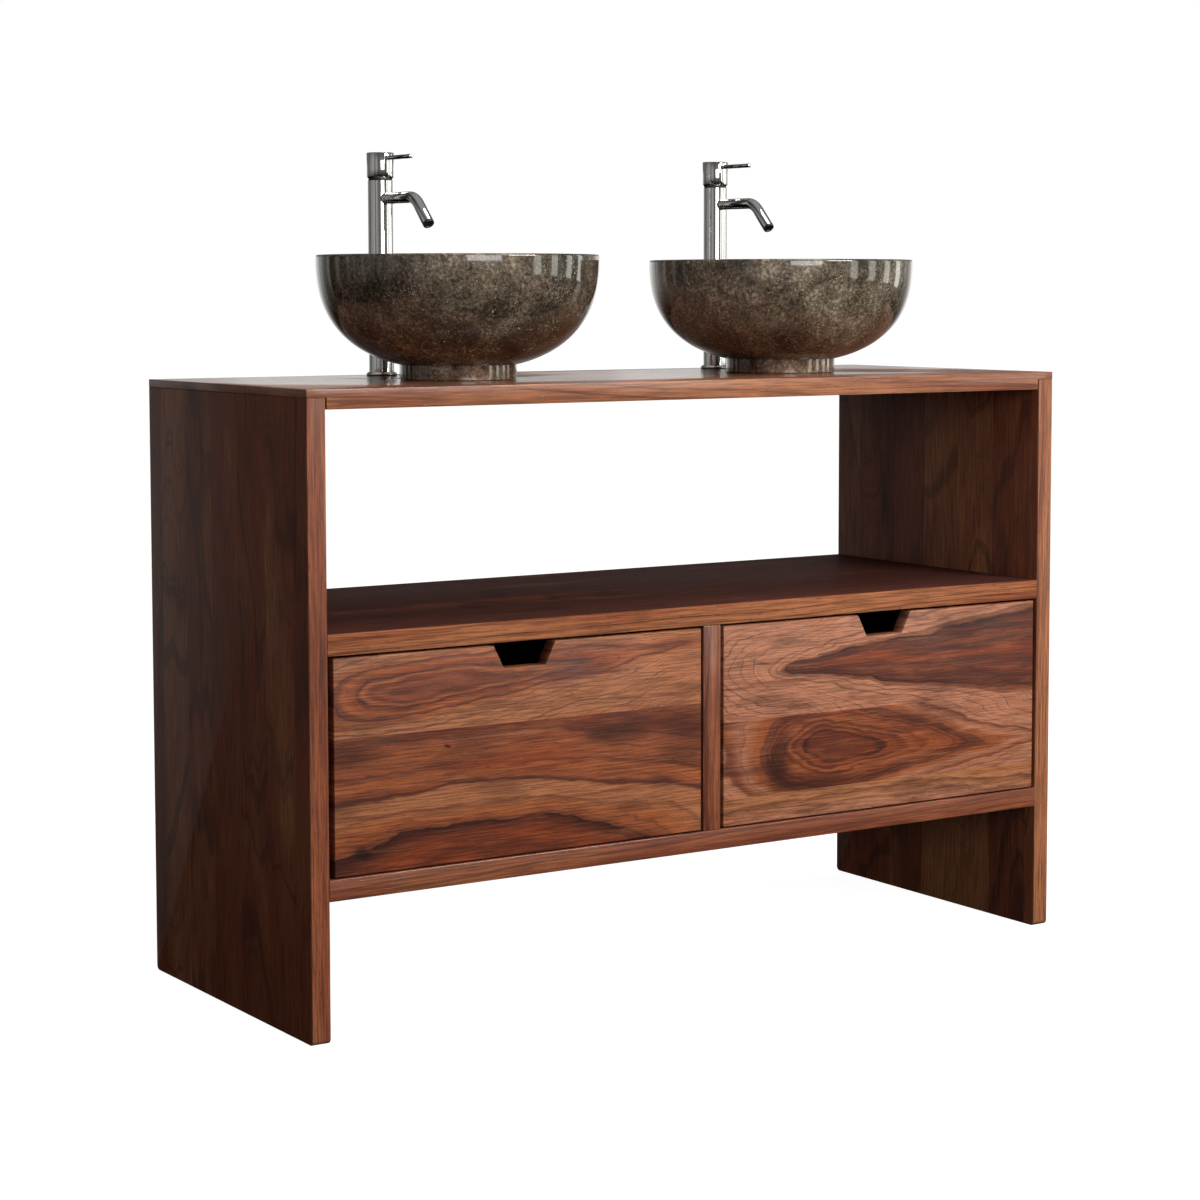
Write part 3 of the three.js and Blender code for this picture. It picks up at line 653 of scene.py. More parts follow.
@dataclass(frozen=True)
class Marble:
    """Polished dark marble: mottled grey-brown, speckled, with a few pale veins and a warm underside."""

    name: str
    seed: float
    foot: float
    rim: float

    def make(self) -> bpy.types.Material:
        """Returns the material.

        Returns:
            The material.
        """
        g = Graph.of_material(self.name)
        x, y, z = g.place()
        seeded = g.vector(g.add(x, self.seed), g.add(y, self.seed * 0.7), z)

        def scaled(scale: float) -> Socket:
            """Scales the place for a pattern.

            Args:
                scale: how many features there are to the metre.

            Returns:
                The scaled place.
            """
            made = g.node("ShaderNodeVectorMath", operation="SCALE")
            g.feed(made.inputs[0], seeded)
            made.inputs["Scale"].default_value = scale
            return made.outputs[0]

        cloud = g.noise(scaled(8.0), 5.0, 0.60, 0.8)
        grit = g.noise(scaled(240.0), 4.0, 0.75, 0.4)
        mottle = g.noise(scaled(48.0), 4.0, 0.65, 1.0)
        mix = g.add(g.add(g.times(cloud, 0.42), g.times(mottle, 0.16)), g.times(grit, 0.42))
        stone = g.ramp(mix, [
            (0.37, srgb(24, 20, 16)), (0.455, srgb(60, 52, 43)), (0.53, srgb(102, 91, 78)),
            (0.61, srgb(164, 152, 134)),
        ])
        height = g.math("DIVIDE", g.math("SUBTRACT", z, self.foot), self.rim - self.foot)
        drift = g.math("SUBTRACT", g.noise(scaled(5.0), 3.0), 0.5)
        warmth = g.add(g.step(height, 0.80, 0.05), g.times(drift, 1.6))
        warm = g.mix(0.75, stone, srgb(190, 126, 58), "MULTIPLY")
        stone = g.mix(g.times(g.step(warmth, 0.30, 0.95), 0.85), stone, warm)
        ridge = g.math("ABSOLUTE", g.math("SUBTRACT", g.noise(scaled(7.0), 6.0, 0.66, 1.6), 0.5))
        vein = g.times(g.step(ridge, 0.012, 0.0), g.step(g.noise(scaled(5.0), 2.0), 0.54, 0.66))
        stone = g.mix(g.times(vein, 0.70), stone, srgb(186, 174, 154))
        curl = g.math("ABSOLUTE", g.math("SUBTRACT", g.noise(scaled(85.0), 2.0, 0.5, 2.4), 0.5))
        curls = g.times(g.step(curl, 0.020, 0.0), g.step(g.noise(scaled(36.0), 3.0), 0.50, 0.60))
        stone = g.mix(g.times(curls, 0.60), stone, srgb(184, 170, 146))
        cells = g.node("ShaderNodeTexVoronoi", feature="F1")
        g.feed(cells.inputs["Vector"], scaled(260.0))
        cells.inputs["Scale"].default_value = 1.0
        speckled = g.step(g.noise(scaled(60.0), 2.0), 0.54, 0.64)
        speck = g.times(g.step(cells.outputs["Distance"], 0.24, 0.12), speckled)
        stone = g.mix(g.times(speck, 0.90), stone, srgb(214, 204, 186))
        normal = g.bump(g.noise(scaled(11.0), 2.0), 0.0012, 0.20)
        rough = g.add(g.times(grit, 0.10), 0.04)
        g.surface(stone, rough, normal, IOR=1.52, Coat_Weight=0.5, Coat_Roughness=0.02)
        return g.owner


@dataclass(frozen=True)
class Metal:
    """A plated or bare metal, with faint smears and fine marks along one axis."""

    name: str
    colour: Colour
    roughness: float
    smear: float = 0.04
    marks: float = 0.0

    def make(self) -> bpy.types.Material:
        """Returns the material.

        Returns:
            The material.
        """
        g = Graph.of_material(self.name)
        x, y, z = g.place()
        smear = g.noise(g.vector(g.times(x, 55.0), g.times(y, 55.0), g.times(z, 30.0)), 3.0)
        brushed = g.noise(g.vector(g.times(x, 2500.0), g.times(y, 120.0), g.times(z, 2500.0)), 2.0)
        rough = g.add(g.times(smear, self.smear), self.roughness - self.smear / 2)
        tint = g.mix(g.times(smear, 0.25), self.colour, tuple(0.82 * c for c in self.colour))
        normal = g.bump(brushed, 0.00002, self.marks) if self.marks else None
        g.surface(tint, rough, normal, Metallic=1.0)
        return g.owner


@dataclass(frozen=True)
class Moulded:
    """Rubber or moulded plastic: matt, with a fine even texture and faint dusting."""

    name: str
    colour: Colour
    roughness: float

    def make(self) -> bpy.types.Material:
        """Returns the material.

        Returns:
            The material.
        """
        g = Graph.of_material(self.name)
        x, y, z = g.place()
        fine = g.noise(g.vector(g.times(x, 900.0), g.times(y, 900.0), g.times(z, 900.0)), 2.0)
        dust = g.noise(g.vector(g.times(x, 60.0), g.times(y, 60.0), g.times(z, 60.0)), 3.0)
        tint = g.mix(g.times(dust, 0.2), self.colour, tuple(min(1.0, 1.4 * c + 0.01) for c in self.colour))
        g.surface(tint, self.roughness, g.bump(fine, 0.00005, 0.6))
        return g.owner


# ---- modelling -----------------------------------------------------------------------------------
def deselect() -> None:
    """Leaves object mode with nothing selected."""
    if bpy.context.object and bpy.context.object.mode != "OBJECT":
        bpy.ops.object.mode_set(mode="OBJECT")
    bpy.ops.object.select_all(action="DESELECT")


def settle(piece: bpy.types.Object, name: str) -> bpy.types.Object:
    """Names a piece and puts its place, turn and size into its mesh.

    Args:
        piece: the piece.
        name: its name.

    Returns:
        The piece.
    """
    deselect()
    piece.name = piece.data.name = name
    piece.select_set(True)
    bpy.context.view_layer.objects.active = piece
    bpy.ops.object.transform_apply(location=True, rotation=True, scale=True)
    return piece


def copied(piece: bpy.types.Object, name: str, shift: Vector) -> bpy.types.Object:
    """Copies a piece with its own mesh, and puts the copy's new place into that mesh.

    Args:
        piece: the piece to copy.
        name: the copy's name.
        shift: how far the copy stands from the piece.

    Returns:
        The copy.
    """
    deselect()
    piece.select_set(True)
    bpy.context.view_layer.objects.active = piece
    bpy.ops.object.duplicate(linked=False)
    twin = bpy.context.object
    twin.location = shift
    return settle(twin, name)


def apply_modifier(piece: bpy.types.Object, kind: str, **settings: object) -> None:
    """Adds a modifier with its settings and applies it.

    Args:
        piece: the piece.
        kind: the modifier's type.
        settings: its settings, by name.
    """
    deselect()
    bpy.context.view_layer.objects.active = piece
    piece.select_set(True)
    modifier = piece.modifiers.new(kind.title(), kind)
    for key, value in settings.items():
        setattr(modifier, key, value)
    bpy.ops.object.modifier_apply(modifier=modifier.name)


def smooth(piece: bpy.types.Object, degrees: float) -> None:
    """Shades a piece smooth across the edges that turn less than an angle.

    Args:
        piece: the piece.
        degrees: the angle.
    """
    deselect()
    piece.select_set(True)
    bpy.context.view_layer.objects.active = piece
    bpy.ops.object.shade_smooth_by_angle(angle=math.radians(degrees))


def soften(piece: bpy.types.Object, width: float, segments: int = 3, angle: float = 35.0) -> None:
    """Rounds a piece's arrises and shades it smooth between them.

    Args:
        piece: the piece.
        width: how far the rounding reaches from an arris.
        segments: faces across the rounding.
        angle: the least angle, in degrees, of an edge that is rounded.
    """
    apply_modifier(
        piece, "BEVEL", width=width, segments=segments, limit_method="ANGLE",
        angle_limit=math.radians(angle), harden_normals=False,
    )
    smooth(piece, 40)


def block(name: str, low: Sequence[float], high: Sequence[float]) -> bpy.types.Object:
    """Adds a plain block between two corners.

    Args:
        name: its name.
        low: the corner with the lowest coordinates.
        high: the opposite corner.

    Returns:
        The block.
    """
    deselect()
    middle = [(a + b) / 2 for a, b in zip(low, high)]
    bpy.ops.mesh.primitive_cube_add(size=1, location=middle)
    piece = bpy.context.object
    piece.scale = [b - a for a, b in zip(low, high)]
    return settle(piece, name)


def edit(piece: bpy.types.Object, mode: str = "EDGE") -> None:
    """Enters edit mode on a piece with nothing selected.

    Args:
        piece: the piece.
        mode: VERT, EDGE or FACE, the kind that is selected next.
    """
    deselect()
    piece.select_set(True)
    bpy.context.view_layer.objects.active = piece
    bpy.ops.object.mode_set(mode="EDIT")
    bpy.ops.mesh.select_mode(type=mode)
    bpy.ops.mesh.select_all(action="DESELECT")


def select_faces(piece: bpy.types.Object, wanted: Callable[[bpy.types.MeshPolygon], bool]) -> None:
    """Selects the faces that pass a test, from edit mode.

    Args:
        piece: the piece.
        wanted: the test.
    """
    bpy.ops.mesh.select_mode(type="FACE")
    bpy.ops.mesh.select_all(action="DESELECT")
    bpy.ops.object.mode_set(mode="OBJECT")
    for polygon in piece.data.polygons:
        polygon.select = wanted(polygon)
    bpy.ops.object.mode_set(mode="EDIT")


def select_edges(piece: bpy.types.Object, wanted: Callable[[Vector, Vector], bool]) -> None:
    """Selects the edges whose two ends pass a test, from edit mode.

    Args:
        piece: the piece.
        wanted: the test.
    """
    bpy.ops.mesh.select_mode(type="EDGE")
    bpy.ops.mesh.select_all(action="DESELECT")
    bpy.ops.object.mode_set(mode="OBJECT")
    points = [v.co.copy() for v in piece.data.vertices]
    for edge in piece.data.edges:
        edge.select = wanted(points[edge.vertices[0]], points[edge.vertices[1]])
    bpy.ops.object.mode_set(mode="EDIT")


def carve(piece: bpy.types.Object, *tools: bpy.types.Object) -> None:
    """Cuts other solids out of a piece and removes them.

    Args:
        piece: the piece.
        tools: the solids to cut out.
    """
    for tool in tools:
        apply_modifier(piece, "BOOLEAN", object=tool, operation="DIFFERENCE", solver="EXACT")
        bpy.data.objects.remove(tool)


def turned(name: str, outline: Outline, centre: Vector, steps: int = 64) -> bpy.types.Object:
    """Turns an outline about an upright axis.

    Args:
        name: the piece's name.
        outline: (radius, height) points; a closed ring repeats its first point at the end.
        centre: the foot of the axis.
        steps: faces round the piece.

    Returns:
        The turned piece.
    """
    deselect()
    first = centre + Vector((outline[0][0], 0.0, outline[0][1]))
    bpy.ops.mesh.primitive_plane_add(size=0.01, location=first)
    piece = bpy.context.object
    bpy.ops.object.mode_set(mode="EDIT")
    bpy.ops.mesh.select_mode(type="VERT")
    bpy.ops.mesh.select_all(action="SELECT")
    bpy.ops.mesh.merge(type="CENTER")
    for (r0, z0), (r1, z1) in zip(outline, outline[1:]):
        bpy.ops.mesh.extrude_region_move(TRANSFORM_OT_translate={"value": (r1 - r0, 0.0, z1 - z0)})
    bpy.ops.mesh.select_all(action="SELECT")
    bpy.ops.mesh.spin(steps=steps, angle=math.tau, center=centre, axis=(0, 0, 1))
    bpy.ops.mesh.select_all(action="SELECT")
    bpy.ops.mesh.remove_doubles(threshold=1e-6)
    bpy.ops.mesh.dissolve_degenerate(threshold=1e-7)
    bpy.ops.mesh.select_all(action="SELECT")
    bpy.ops.mesh.normals_make_consistent(inside=False)
    settle(piece, name)
    bpy.ops.object.shade_smooth_by_angle(angle=math.radians(32))
    return piece


def arc(centre: tuple[float, float], radius: float, start: float, end: float, steps: int) -> Outline:
    """Returns the points of an arc, from one angle to another in degrees."""
    angles = [math.radians(start + (end - start) * i / steps) for i in range(steps + 1)]
    return [(centre[0] + radius * math.cos(a), centre[1] + radius * math.sin(a)) for a in angles]


def dress(piece: bpy.types.Object, finish: bpy.types.Material) -> None:
    """Gives a piece one finish all over."""
    piece.data.materials.clear()
    piece.data.materials.append(finish)


def fit_out(
    piece: bpy.types.Object, body: str, finish: bpy.types.Material, nodes: Iterable[str] = (),
) -> bpy.types.Object:
    """Dresses a piece, hangs it on its body and lets it stand for its CAD nodes.

    Args:
        piece: the finished piece.
        body: the CAD body that it moves with.
        finish: its material.
        nodes: the CAD nodes that it stands for.

    Returns:
        The piece.
    """
    dress(piece, finish)
    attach(piece, body)
    if nodes:
        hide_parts(*nodes)
    log.info("%s rides on %s, finish %s", piece.name, body, finish.name)
    return piece


# ---- the workshop's finishes ---------------------------------------------------------------------
@dataclass
class Palette:
    """The finishes that several sub-assemblies share."""

    chrome: bpy.types.Material = field(init=False)
    zinc: bpy.types.Material = field(init=False)
    brass: bpy.types.Material = field(init=False)
    rubber: bpy.types.Material = field(init=False)
    plastic: bpy.types.Material = field(init=False)
    outlet: bpy.types.Material = field(init=False)
    box_wood: bpy.types.Material = field(init=False)

    def __post_init__(self) -> None:
        """Makes the materials."""
        self.chrome = Metal("polished_chrome", (0.76, 0.75, 0.75), 0.045).make()
        self.zinc = Metal("zinc_plate", (0.55, 0.57, 0.60), 0.32, 0.12, 0.5).make()
        self.brass = Metal("turned_brass", (0.62, 0.45, 0.22), 0.28, 0.08, 0.4).make()
        self.rubber = Moulded("black_rubber", (0.02, 0.02, 0.02), 0.75).make()
        self.plastic = Moulded("white_plastic", (0.75, 0.74, 0.70), 0.45).make()
        self.outlet = Metal("dark_outlet", (0.07, 0.07, 0.075), 0.4).make()
        self.box_wood = Rosewood(
            "box_wood", Grain.ALONG_Y, 4.0, 0.12, 0.40, 0.45, 0.4, BOX_LIGHT, BOX_MIDDLE, BOX_DARK,
        ).make()


# ---- carcass -------------------------------------------------------------------------------------
@dataclass
class Carcass:
    """Worktop, side panels, shelf, bottom board, divider and back panel."""

    arris: float = 0.0011
    foot_radius: float = 0.007
    lap_gap: float = 0.002
    waste_hole: float = 0.0225
    tap_hole: float = 0.0175
    body: str = "cabinet"

    def build(self) -> None:
        """Builds and dresses the boards."""
        self.worktop()
        self.side_panels()
        self.rails()
        self.back_panel()

    def board(self, node: str, finish: Rosewood) -> bpy.types.Object:
        """Makes one square board from its CAD node's box, with softened arrises.

        Args:
            node: the board's CAD node.
            finish: its wood.

        Returns:
            The board.
        """
        low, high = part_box(node)
        inner = self.inner_face()
        low.x, high.x = max(low.x, -inner), min(high.x, inner)
        piece = block(node + "_board", low, high)
        soften(piece, self.arris)
        return fit_out(piece, self.body, finish.make(), [node])

    def inner_face(self) -> float:
        """Returns how far the side panels' inner faces stand from the middle."""
        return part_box("right_side_panel")[0].x

    def worktop(self) -> None:
        """Makes the worktop, rebated at both ends to lap over the side panels."""
        low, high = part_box("worktop")
        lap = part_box("left_side_panel")[1].z
        shoulder = self.inner_face() - self.lap_gap
        piece = block("worktop_board", (-shoulder, low.y, low.z), (shoulder, high.y, high.z))
        edit(piece)
        bpy.ops.mesh.select_all(action="SELECT")
        bpy.ops.mesh.bisect(plane_co=(0, 0, lap), plane_no=(0, 0, 1))
        for side in (-1, 1):
            select_faces(piece, lambda f: f.normal.x * side > 0.9 and f.center.z > lap)
            reach = side * (high.x - shoulder)
            bpy.ops.mesh.extrude_region_move(TRANSFORM_OT_translate={"value": (reach, 0, 0)})
        bpy.ops.object.mode_set(mode="OBJECT")
        for side in ("left", "right"):
            for node, radius in (("_waste_body", self.waste_hole), ("_tap_body", self.tap_hole)):
                corner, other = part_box(side + node)
                middle = (corner + other) / 2
                deselect()
                bpy.ops.mesh.primitive_cylinder_add(
                    vertices=48, radius=radius, depth=0.1, location=(middle.x, middle.y, high.z),
                )
                carve(piece, bpy.context.object)
        soften(piece, self.arris)
        finish = Rosewood("worktop_rosewood", Grain.ALONG_X_FLAT, 1.0, 0.116, 0.36, 0.6)
        fit_out(piece, self.body, finish.make(), ["worktop"])

    def side_panels(self) -> None:
        """Makes the two side panels, with rounded lower corners."""
        for side, seed, darkness, gloss in (("left", 2.0, 0.47, 0.3), ("right", 5.0, 0.44, 0.45)):
            node = side + "_side_panel"
            low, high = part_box(node)
            piece = block(node + "_board", low, high)
            edit(piece)
            select_edges(piece, lambda a, b: abs(a.x - b.x) > 0.01 and a.z < 0.001 and b.z < 0.001)
            bpy.ops.mesh.bevel(offset=self.foot_radius, segments=6, affect="EDGES")
            bpy.ops.object.mode_set(mode="OBJECT")
            soften(piece, self.arris)
            # front=low.y adds painted light along each panel's front edge
            finish = Rosewood(
                side + "_panel_rosewood", Grain.UPRIGHT, seed, 0.078, darkness, 0.6, gloss, front=low.y,
            )
            fit_out(piece, self.body, finish.make(), [node])

    def back_panel(self) -> None:
        """Dresses the thin panel behind the drawers."""
        finish = Rosewood(
            "back_panel_wood", Grain.ALONG_X_UPRIGHT, 9.0, 0.14, 0.45, 0.45, 0.3,
            BOX_LIGHT, BOX_MIDDLE, BOX_DARK,
        )
        dress(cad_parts["back_panel"], finish.make())

    def rails(self) -> None:
        """Makes the shelf, the bottom board and the divider."""
        flat = Grain.ALONG_X_FLAT
        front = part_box("shelf")[0].y
        # the shelf's front edge gets strong painted light, well lighter than its top
        self.board("shelf", Rosewood(
            "shelf_rosewood", flat, 3.0, 0.093, 0.86, 0.7, 0.05, satin=0.28, front=front, front_painted_light=0.24,
        ))
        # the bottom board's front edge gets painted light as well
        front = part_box("bottom_board")[0].y
        self.board("bottom_board", Rosewood("bottom_rosewood", flat, 6.0, 0.093, 0.5, 0.7, front=front))
        low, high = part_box("divider")
        low.z, high.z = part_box("bottom_board")[1].z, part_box("shelf")[0].z
        piece = block("divider_board", low, high)
        soften(piece, self.arris)
        finish = Rosewood("divider_rosewood", Grain.UPRIGHT, 8.0, 0.11, 0.55, 1.0)
        fit_out(piece, self.body, finish.make(), ["divider"])


# ---- drawers -------------------------------------------------------------------------------------
@dataclass
class Drawer:
    """One drawer: a figured front with a finger notch, its box and its slides."""

    side: str
    finish: FiguredFront
    arris: float = 0.0014
    notch_top: float = 0.092
    notch_bottom: float = 0.062
    notch_depth: float = 0.030
    past: float = 0.010

    @property
    def body(self) -> str:
        """The CAD body that the drawer moves with."""
        return self.side + "_drawer"

    def build(self, palette: Palette) -> None:
        """Builds the front and dresses the box and the slides.

        Args:
            palette: the shared finishes.
        """
        self.front()
        for part in ("left_side", "right_side", "back", "bottom"):
            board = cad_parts[f"{self.side}_drawer_{part}"]
            bevel = board.modifiers.new("arrises", "BEVEL")
            bevel.width, bevel.segments, bevel.limit_method = self.arris / 2, 2, "ANGLE"
            dress(board, palette.box_wood)
        for hand in ("left", "right"):
            dress(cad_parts[f"{self.side}_bay_{hand}_slide_channel"], palette.zinc)
            dress(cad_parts[f"{self.side}_drawer_{hand}_slide_runner"], palette.zinc)

    def front(self) -> None:
        """Makes the front board and cuts its notch."""
        node = self.side + "_drawer_front"
        low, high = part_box(node)
        piece = block(node + "_board", low, high)
        middle = (low.x + high.x) / 2
        half, foot = self.notch_bottom / 2, high.z - self.notch_depth
        near, far, top = low.y - self.past, high.y + self.past, high.z + self.past
        cutter = block("notch", (middle - half, near, foot), (middle + half, far, top))
        edit(cutter)
        select_faces(cutter, lambda f: f.normal.z > 0.9)
        share = (self.notch_depth + self.past) / self.notch_depth
        widen = 1 + (self.notch_top / self.notch_bottom - 1) * share
        bpy.ops.transform.resize(
            value=(widen, 1, 1), center_override=(middle, (low.y + high.y) / 2, high.z), orient_type="GLOBAL",
        )
        bpy.ops.object.mode_set(mode="OBJECT")
        carve(piece, cutter)
        soften(piece, self.arris)
        fit_out(piece, self.body, self.finish.make(), [node])


# ---- basins --------------------------------------------------------------------------------------
@dataclass
class Basin:
    """One stone vessel basin with its click waste."""

    side: str
    seed: float
    curve_power: float = 2.5
    foot_radius: float = 0.0785
    foot_height: float = 0.020
    wall: float = 0.015
    floor: float = 0.025
    rim_round: float = 0.003
    seat_radius: float = 0.0323
    seat_depth: float = 0.001
    hole_radius: float = 0.0225
    foot_chamfer: float = 0.0015
    waste_seal: float = 0.0015
    waste_flange: float = 0.0025
    plug_lift: float = 0.008
    plug_stem: float = 0.0028
    plug_neck: float = 0.0084
    plug_radius: float = 0.031

    def build(self, palette: Palette) -> None:
        """Builds the bowl and the waste.

        Args:
            palette: the shared finishes.
        """
        low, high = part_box(self.side + "_basin")
        centre = Vector(((low.x + high.x) / 2, (low.y + high.y) / 2, low.z))
        radius, height = (high.x - low.x) / 2, high.z - low.z
        piece = turned(self.side + "_bowl", self.outline(radius, height), centre, 96)
        finish = Marble(self.side + "_marble", self.seed, low.z, high.z).make()
        fit_out(piece, "cabinet", finish, [self.side + "_basin"])
        self.waste(palette, centre)

    def lowest(self, radius: float, end: float) -> float:
        """Returns the angle at which a bowl's curve reaches a radius."""
        return math.acos((end / radius) ** (self.curve_power / 2))

    def curve(self, radius: float, depth: float, end: float, height: float, steps: int) -> Outline:
        """Returns a bowl's curve from the rim down to a radius.

        Args:
            radius: the radius at the rim.
            depth: the full curve's depth.
            end: the radius to stop at.
            height: the rim's height.
            steps: how many stretches the curve has.

        Returns:
            The points.
        """
        lowest = self.lowest(radius, end)
        points = []
        for i in range(steps + 1):
            angle = lowest * i / steps
            across = radius * math.cos(angle) ** (2 / self.curve_power)
            down = depth * math.sin(angle) ** (2 / self.curve_power)
            points.append((across, height - down))
        return points

    def outline(self, radius: float, height: float) -> Outline:
        """Returns the bowl's closed outline, anticlockwise from the foot's inner edge.

        Args:
            radius: the bowl's outer radius.
            height: the bowl's height.

        Returns:
            The outline.
        """
        inside = radius - self.wall
        keep = height - self.rim_round - 0.001
        reach = math.sin(self.lowest(radius, self.foot_radius)) ** (2 / self.curve_power)
        depth = (height - self.foot_height) / reach
        outer = [p for p in self.curve(radius, depth, self.foot_radius, height, 40) if p[1] < keep]
        hollow = height - self.floor
        inner = [p for p in self.curve(inside, hollow, self.seat_radius, height, 36) if p[1] < keep]
        chamfer = self.foot_chamfer
        foot = [(self.hole_radius, 0.0), (self.foot_radius - chamfer, 0.0), (self.foot_radius, chamfer)]
        rim = arc((radius - self.rim_round, height - self.rim_round), self.rim_round, 0, 90, 6)
        lip = arc((inside + self.rim_round, height - self.rim_round), self.rim_round, 90, 180, 6)
        seat = self.floor - self.seat_depth
        closing = [(self.seat_radius, seat), (self.hole_radius, seat), (self.hole_radius, 0.0)]
        return [*foot, *reversed(outer), *rim, *lip, *inner, *closing]

    def waste(self, palette: Palette, centre: Vector) -> None:
        """Makes the waste's plug, and dresses the pieces below it.

        Args:
            palette: the shared finishes.
            centre: the middle of the bowl's foot.
        """
        flange_top = self.floor - self.seat_depth + self.waste_seal + self.waste_flange
        under = flange_top + self.plug_lift
        stem, neck, edge = self.plug_stem, self.plug_neck, self.plug_radius
        head = [
            (0.0, 0.0005), (stem, 0.0005), (stem, under - 0.004), (neck, under), (edge - 0.001, under),
            (edge - 0.0003, under + 0.0004), (edge, under + 0.001), (edge, under + 0.0025),
            (edge - 0.0008, under + 0.0036), (0.0265, under + 0.0044), (0.0223, under + 0.005),
            (0.0118, under + 0.0058), (0.0, under + 0.006),
        ]
        plug = turned(self.side + "_plug_head", head, centre, 64)
        fit_out(plug, self.side + "_plug", palette.chrome, [self.side + "_waste_plug"])
        dress(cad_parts[self.side + "_waste_body"], palette.chrome)
        dress(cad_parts[self.side + "_waste_seal"], palette.rubber)
        dress(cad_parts[self.side + "_waste_nut"], palette.brass)


# ---- taps ----------------------------------------------------------------------------------------
@dataclass
class Taps:
    """Two tall mixer taps: a round column, a bent spout and a cap with a pin lever each."""

    fit: float = 0.0003
    foot_seal: float = 0.001
    ring_radius: float = 0.022
    ring_top: float = 0.005
    column: float = 0.0178
    column_top: float = 0.2717
    pivot: float = 0.286
    shank: float = 0.014
    shank_end: float = -0.039
    waterway: float = 0.008
    waterway_roof: float = 0.008
    bore: float = 0.0125
    bore_floor: float = 0.232
    spout_radius: float = 0.008
    spout_wall: float = 0.0015
    spout_root: float = 0.0133
    spout_height: float = 0.246
    bend_start: float = 0.0841
    bend_radius: float = 0.036
    bend: float = math.radians(45)
    spout_end: float = 0.0360
    cap_radius: float = 0.019
    cap_bottom: float = 0.274
    cap_top: float = 0.310
    cavity_radius: float = 0.014
    cavity_roof: float = 0.299
    lever_radius: float = 0.003
    lever_height: float = 0.302
    lever_root: float = 0.011
    lever_reach: float = 0.089

    def build(self, palette: Palette) -> None:
        """Models the left tap's shown pieces, copies them to the right and dresses both taps.

        Args:
            palette: the shared finishes.
        """
        left, right = self.foot("left"), self.foot("right")
        for model, name, body, node in (
            (self.ring, "foot", "cabinet", "base_ring"), (self.column_body, "column", "cabinet", "body"),
            (self.spout, "spout_tube", "cabinet", "spout"), (self.cap, "cap_shell", "handle", "cap"),
            (self.lever, "pin", "handle", "lever"), (self.shadow_ring, "cap_shadow_ring", "handle", ""),
        ):
            piece = settle(model(left), "left_tap_" + name)
            twin = copied(piece, "right_tap_" + name, right - left)
            for side, made in (("left", piece), ("right", twin)):
                rides = "cabinet" if body == "cabinet" else f"{side}_tap_{body}"
                if node:
                    fit_out(made, rides, palette.chrome, [f"{side}_tap_{node}"])
                # the cap's dark ring is painted shade and takes the black rubber finish
                else:
                    fit_out(made, rides, palette.rubber)
        inside = {
            "seal": palette.rubber, "washer": palette.zinc, "nut": palette.brass, "stem": palette.zinc,
            "cartridge": palette.plastic, "carrier": palette.outlet, "aerator": palette.outlet,
        }
        for side in ("left", "right"):
            for part, finish in inside.items():
                dress(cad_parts[f"{side}_tap_{part}"], finish)

    def foot(self, side: str) -> Vector:
        """Returns the point on the worktop that one tap stands on."""
        low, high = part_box(side + "_tap_base_ring")
        return Vector(((low.x + high.x) / 2, (low.y + high.y) / 2, low.z - self.foot_seal))

    def ring(self, foot: Vector) -> bpy.types.Object:
        """Makes the base ring, with a chamfered shoulder.

        Args:
            foot: the point on the worktop that the tap stands on.

        Returns:
            The ring.
        """
        inner, outer, bottom, top = self.shank + self.fit, self.ring_radius, self.foot_seal, self.ring_top
        outline = [
            (inner, bottom), (outer - 0.0003, bottom), (outer, bottom + 0.0003), (outer, bottom + 0.0009),
            (outer - 0.0003, bottom + 0.0013), (self.column + 0.0011, top - 0.0002),
            (self.column + 0.0008, top), (inner, top), (inner, bottom),
        ]
        return turned("ring", outline, foot)

    def column_body(self, foot: Vector) -> bpy.types.Object:
        """Makes the column, with a dished top, a bore for the cartridge and a port for the spout.

        Args:
            foot: the point on the worktop that the tap stands on.

        Returns:
            The column.
        """
        dish = math.hypot(self.column, self.pivot - self.column_top)
        edge = self.column - 0.0003
        radii = [edge + (self.bore - edge) * i / 8 for i in range(9)]
        top = [(r, self.pivot - math.sqrt(dish ** 2 - r ** 2)) for r in radii]
        low, roof = self.shank_end, self.bore_floor - self.waterway_roof
        outline = [
            (0.0, roof), (self.waterway, roof), (self.waterway, low), (self.shank, low),
            (self.shank, self.ring_top), (self.column, self.ring_top),
            (self.column, self.column_top - 0.0004), *top, (self.bore, self.bore_floor),
            (0.0, self.bore_floor),
        ]
        piece = turned("column", outline, foot, 96)
        self.drill(piece, foot + Vector((0, -0.01, self.spout_height)), self.spout_radius, 48)
        return piece

    def drill(self, piece: bpy.types.Object, middle: Vector, radius: float, sides: int) -> None:
        """Drills a level hole, 20 mm deep and towards the user, for a round part of some radius.

        Args:
            piece: the piece.
            middle: the hole's middle.
            radius: the radius of the round part.
            sides: faces round the hole.
        """
        deselect()
        bpy.ops.mesh.primitive_cylinder_add(
            vertices=sides, radius=radius + self.fit, depth=0.02, location=middle,
            rotation=(math.pi / 2, 0, 0),
        )
        carve(piece, bpy.context.object)
        smooth(piece, 32)

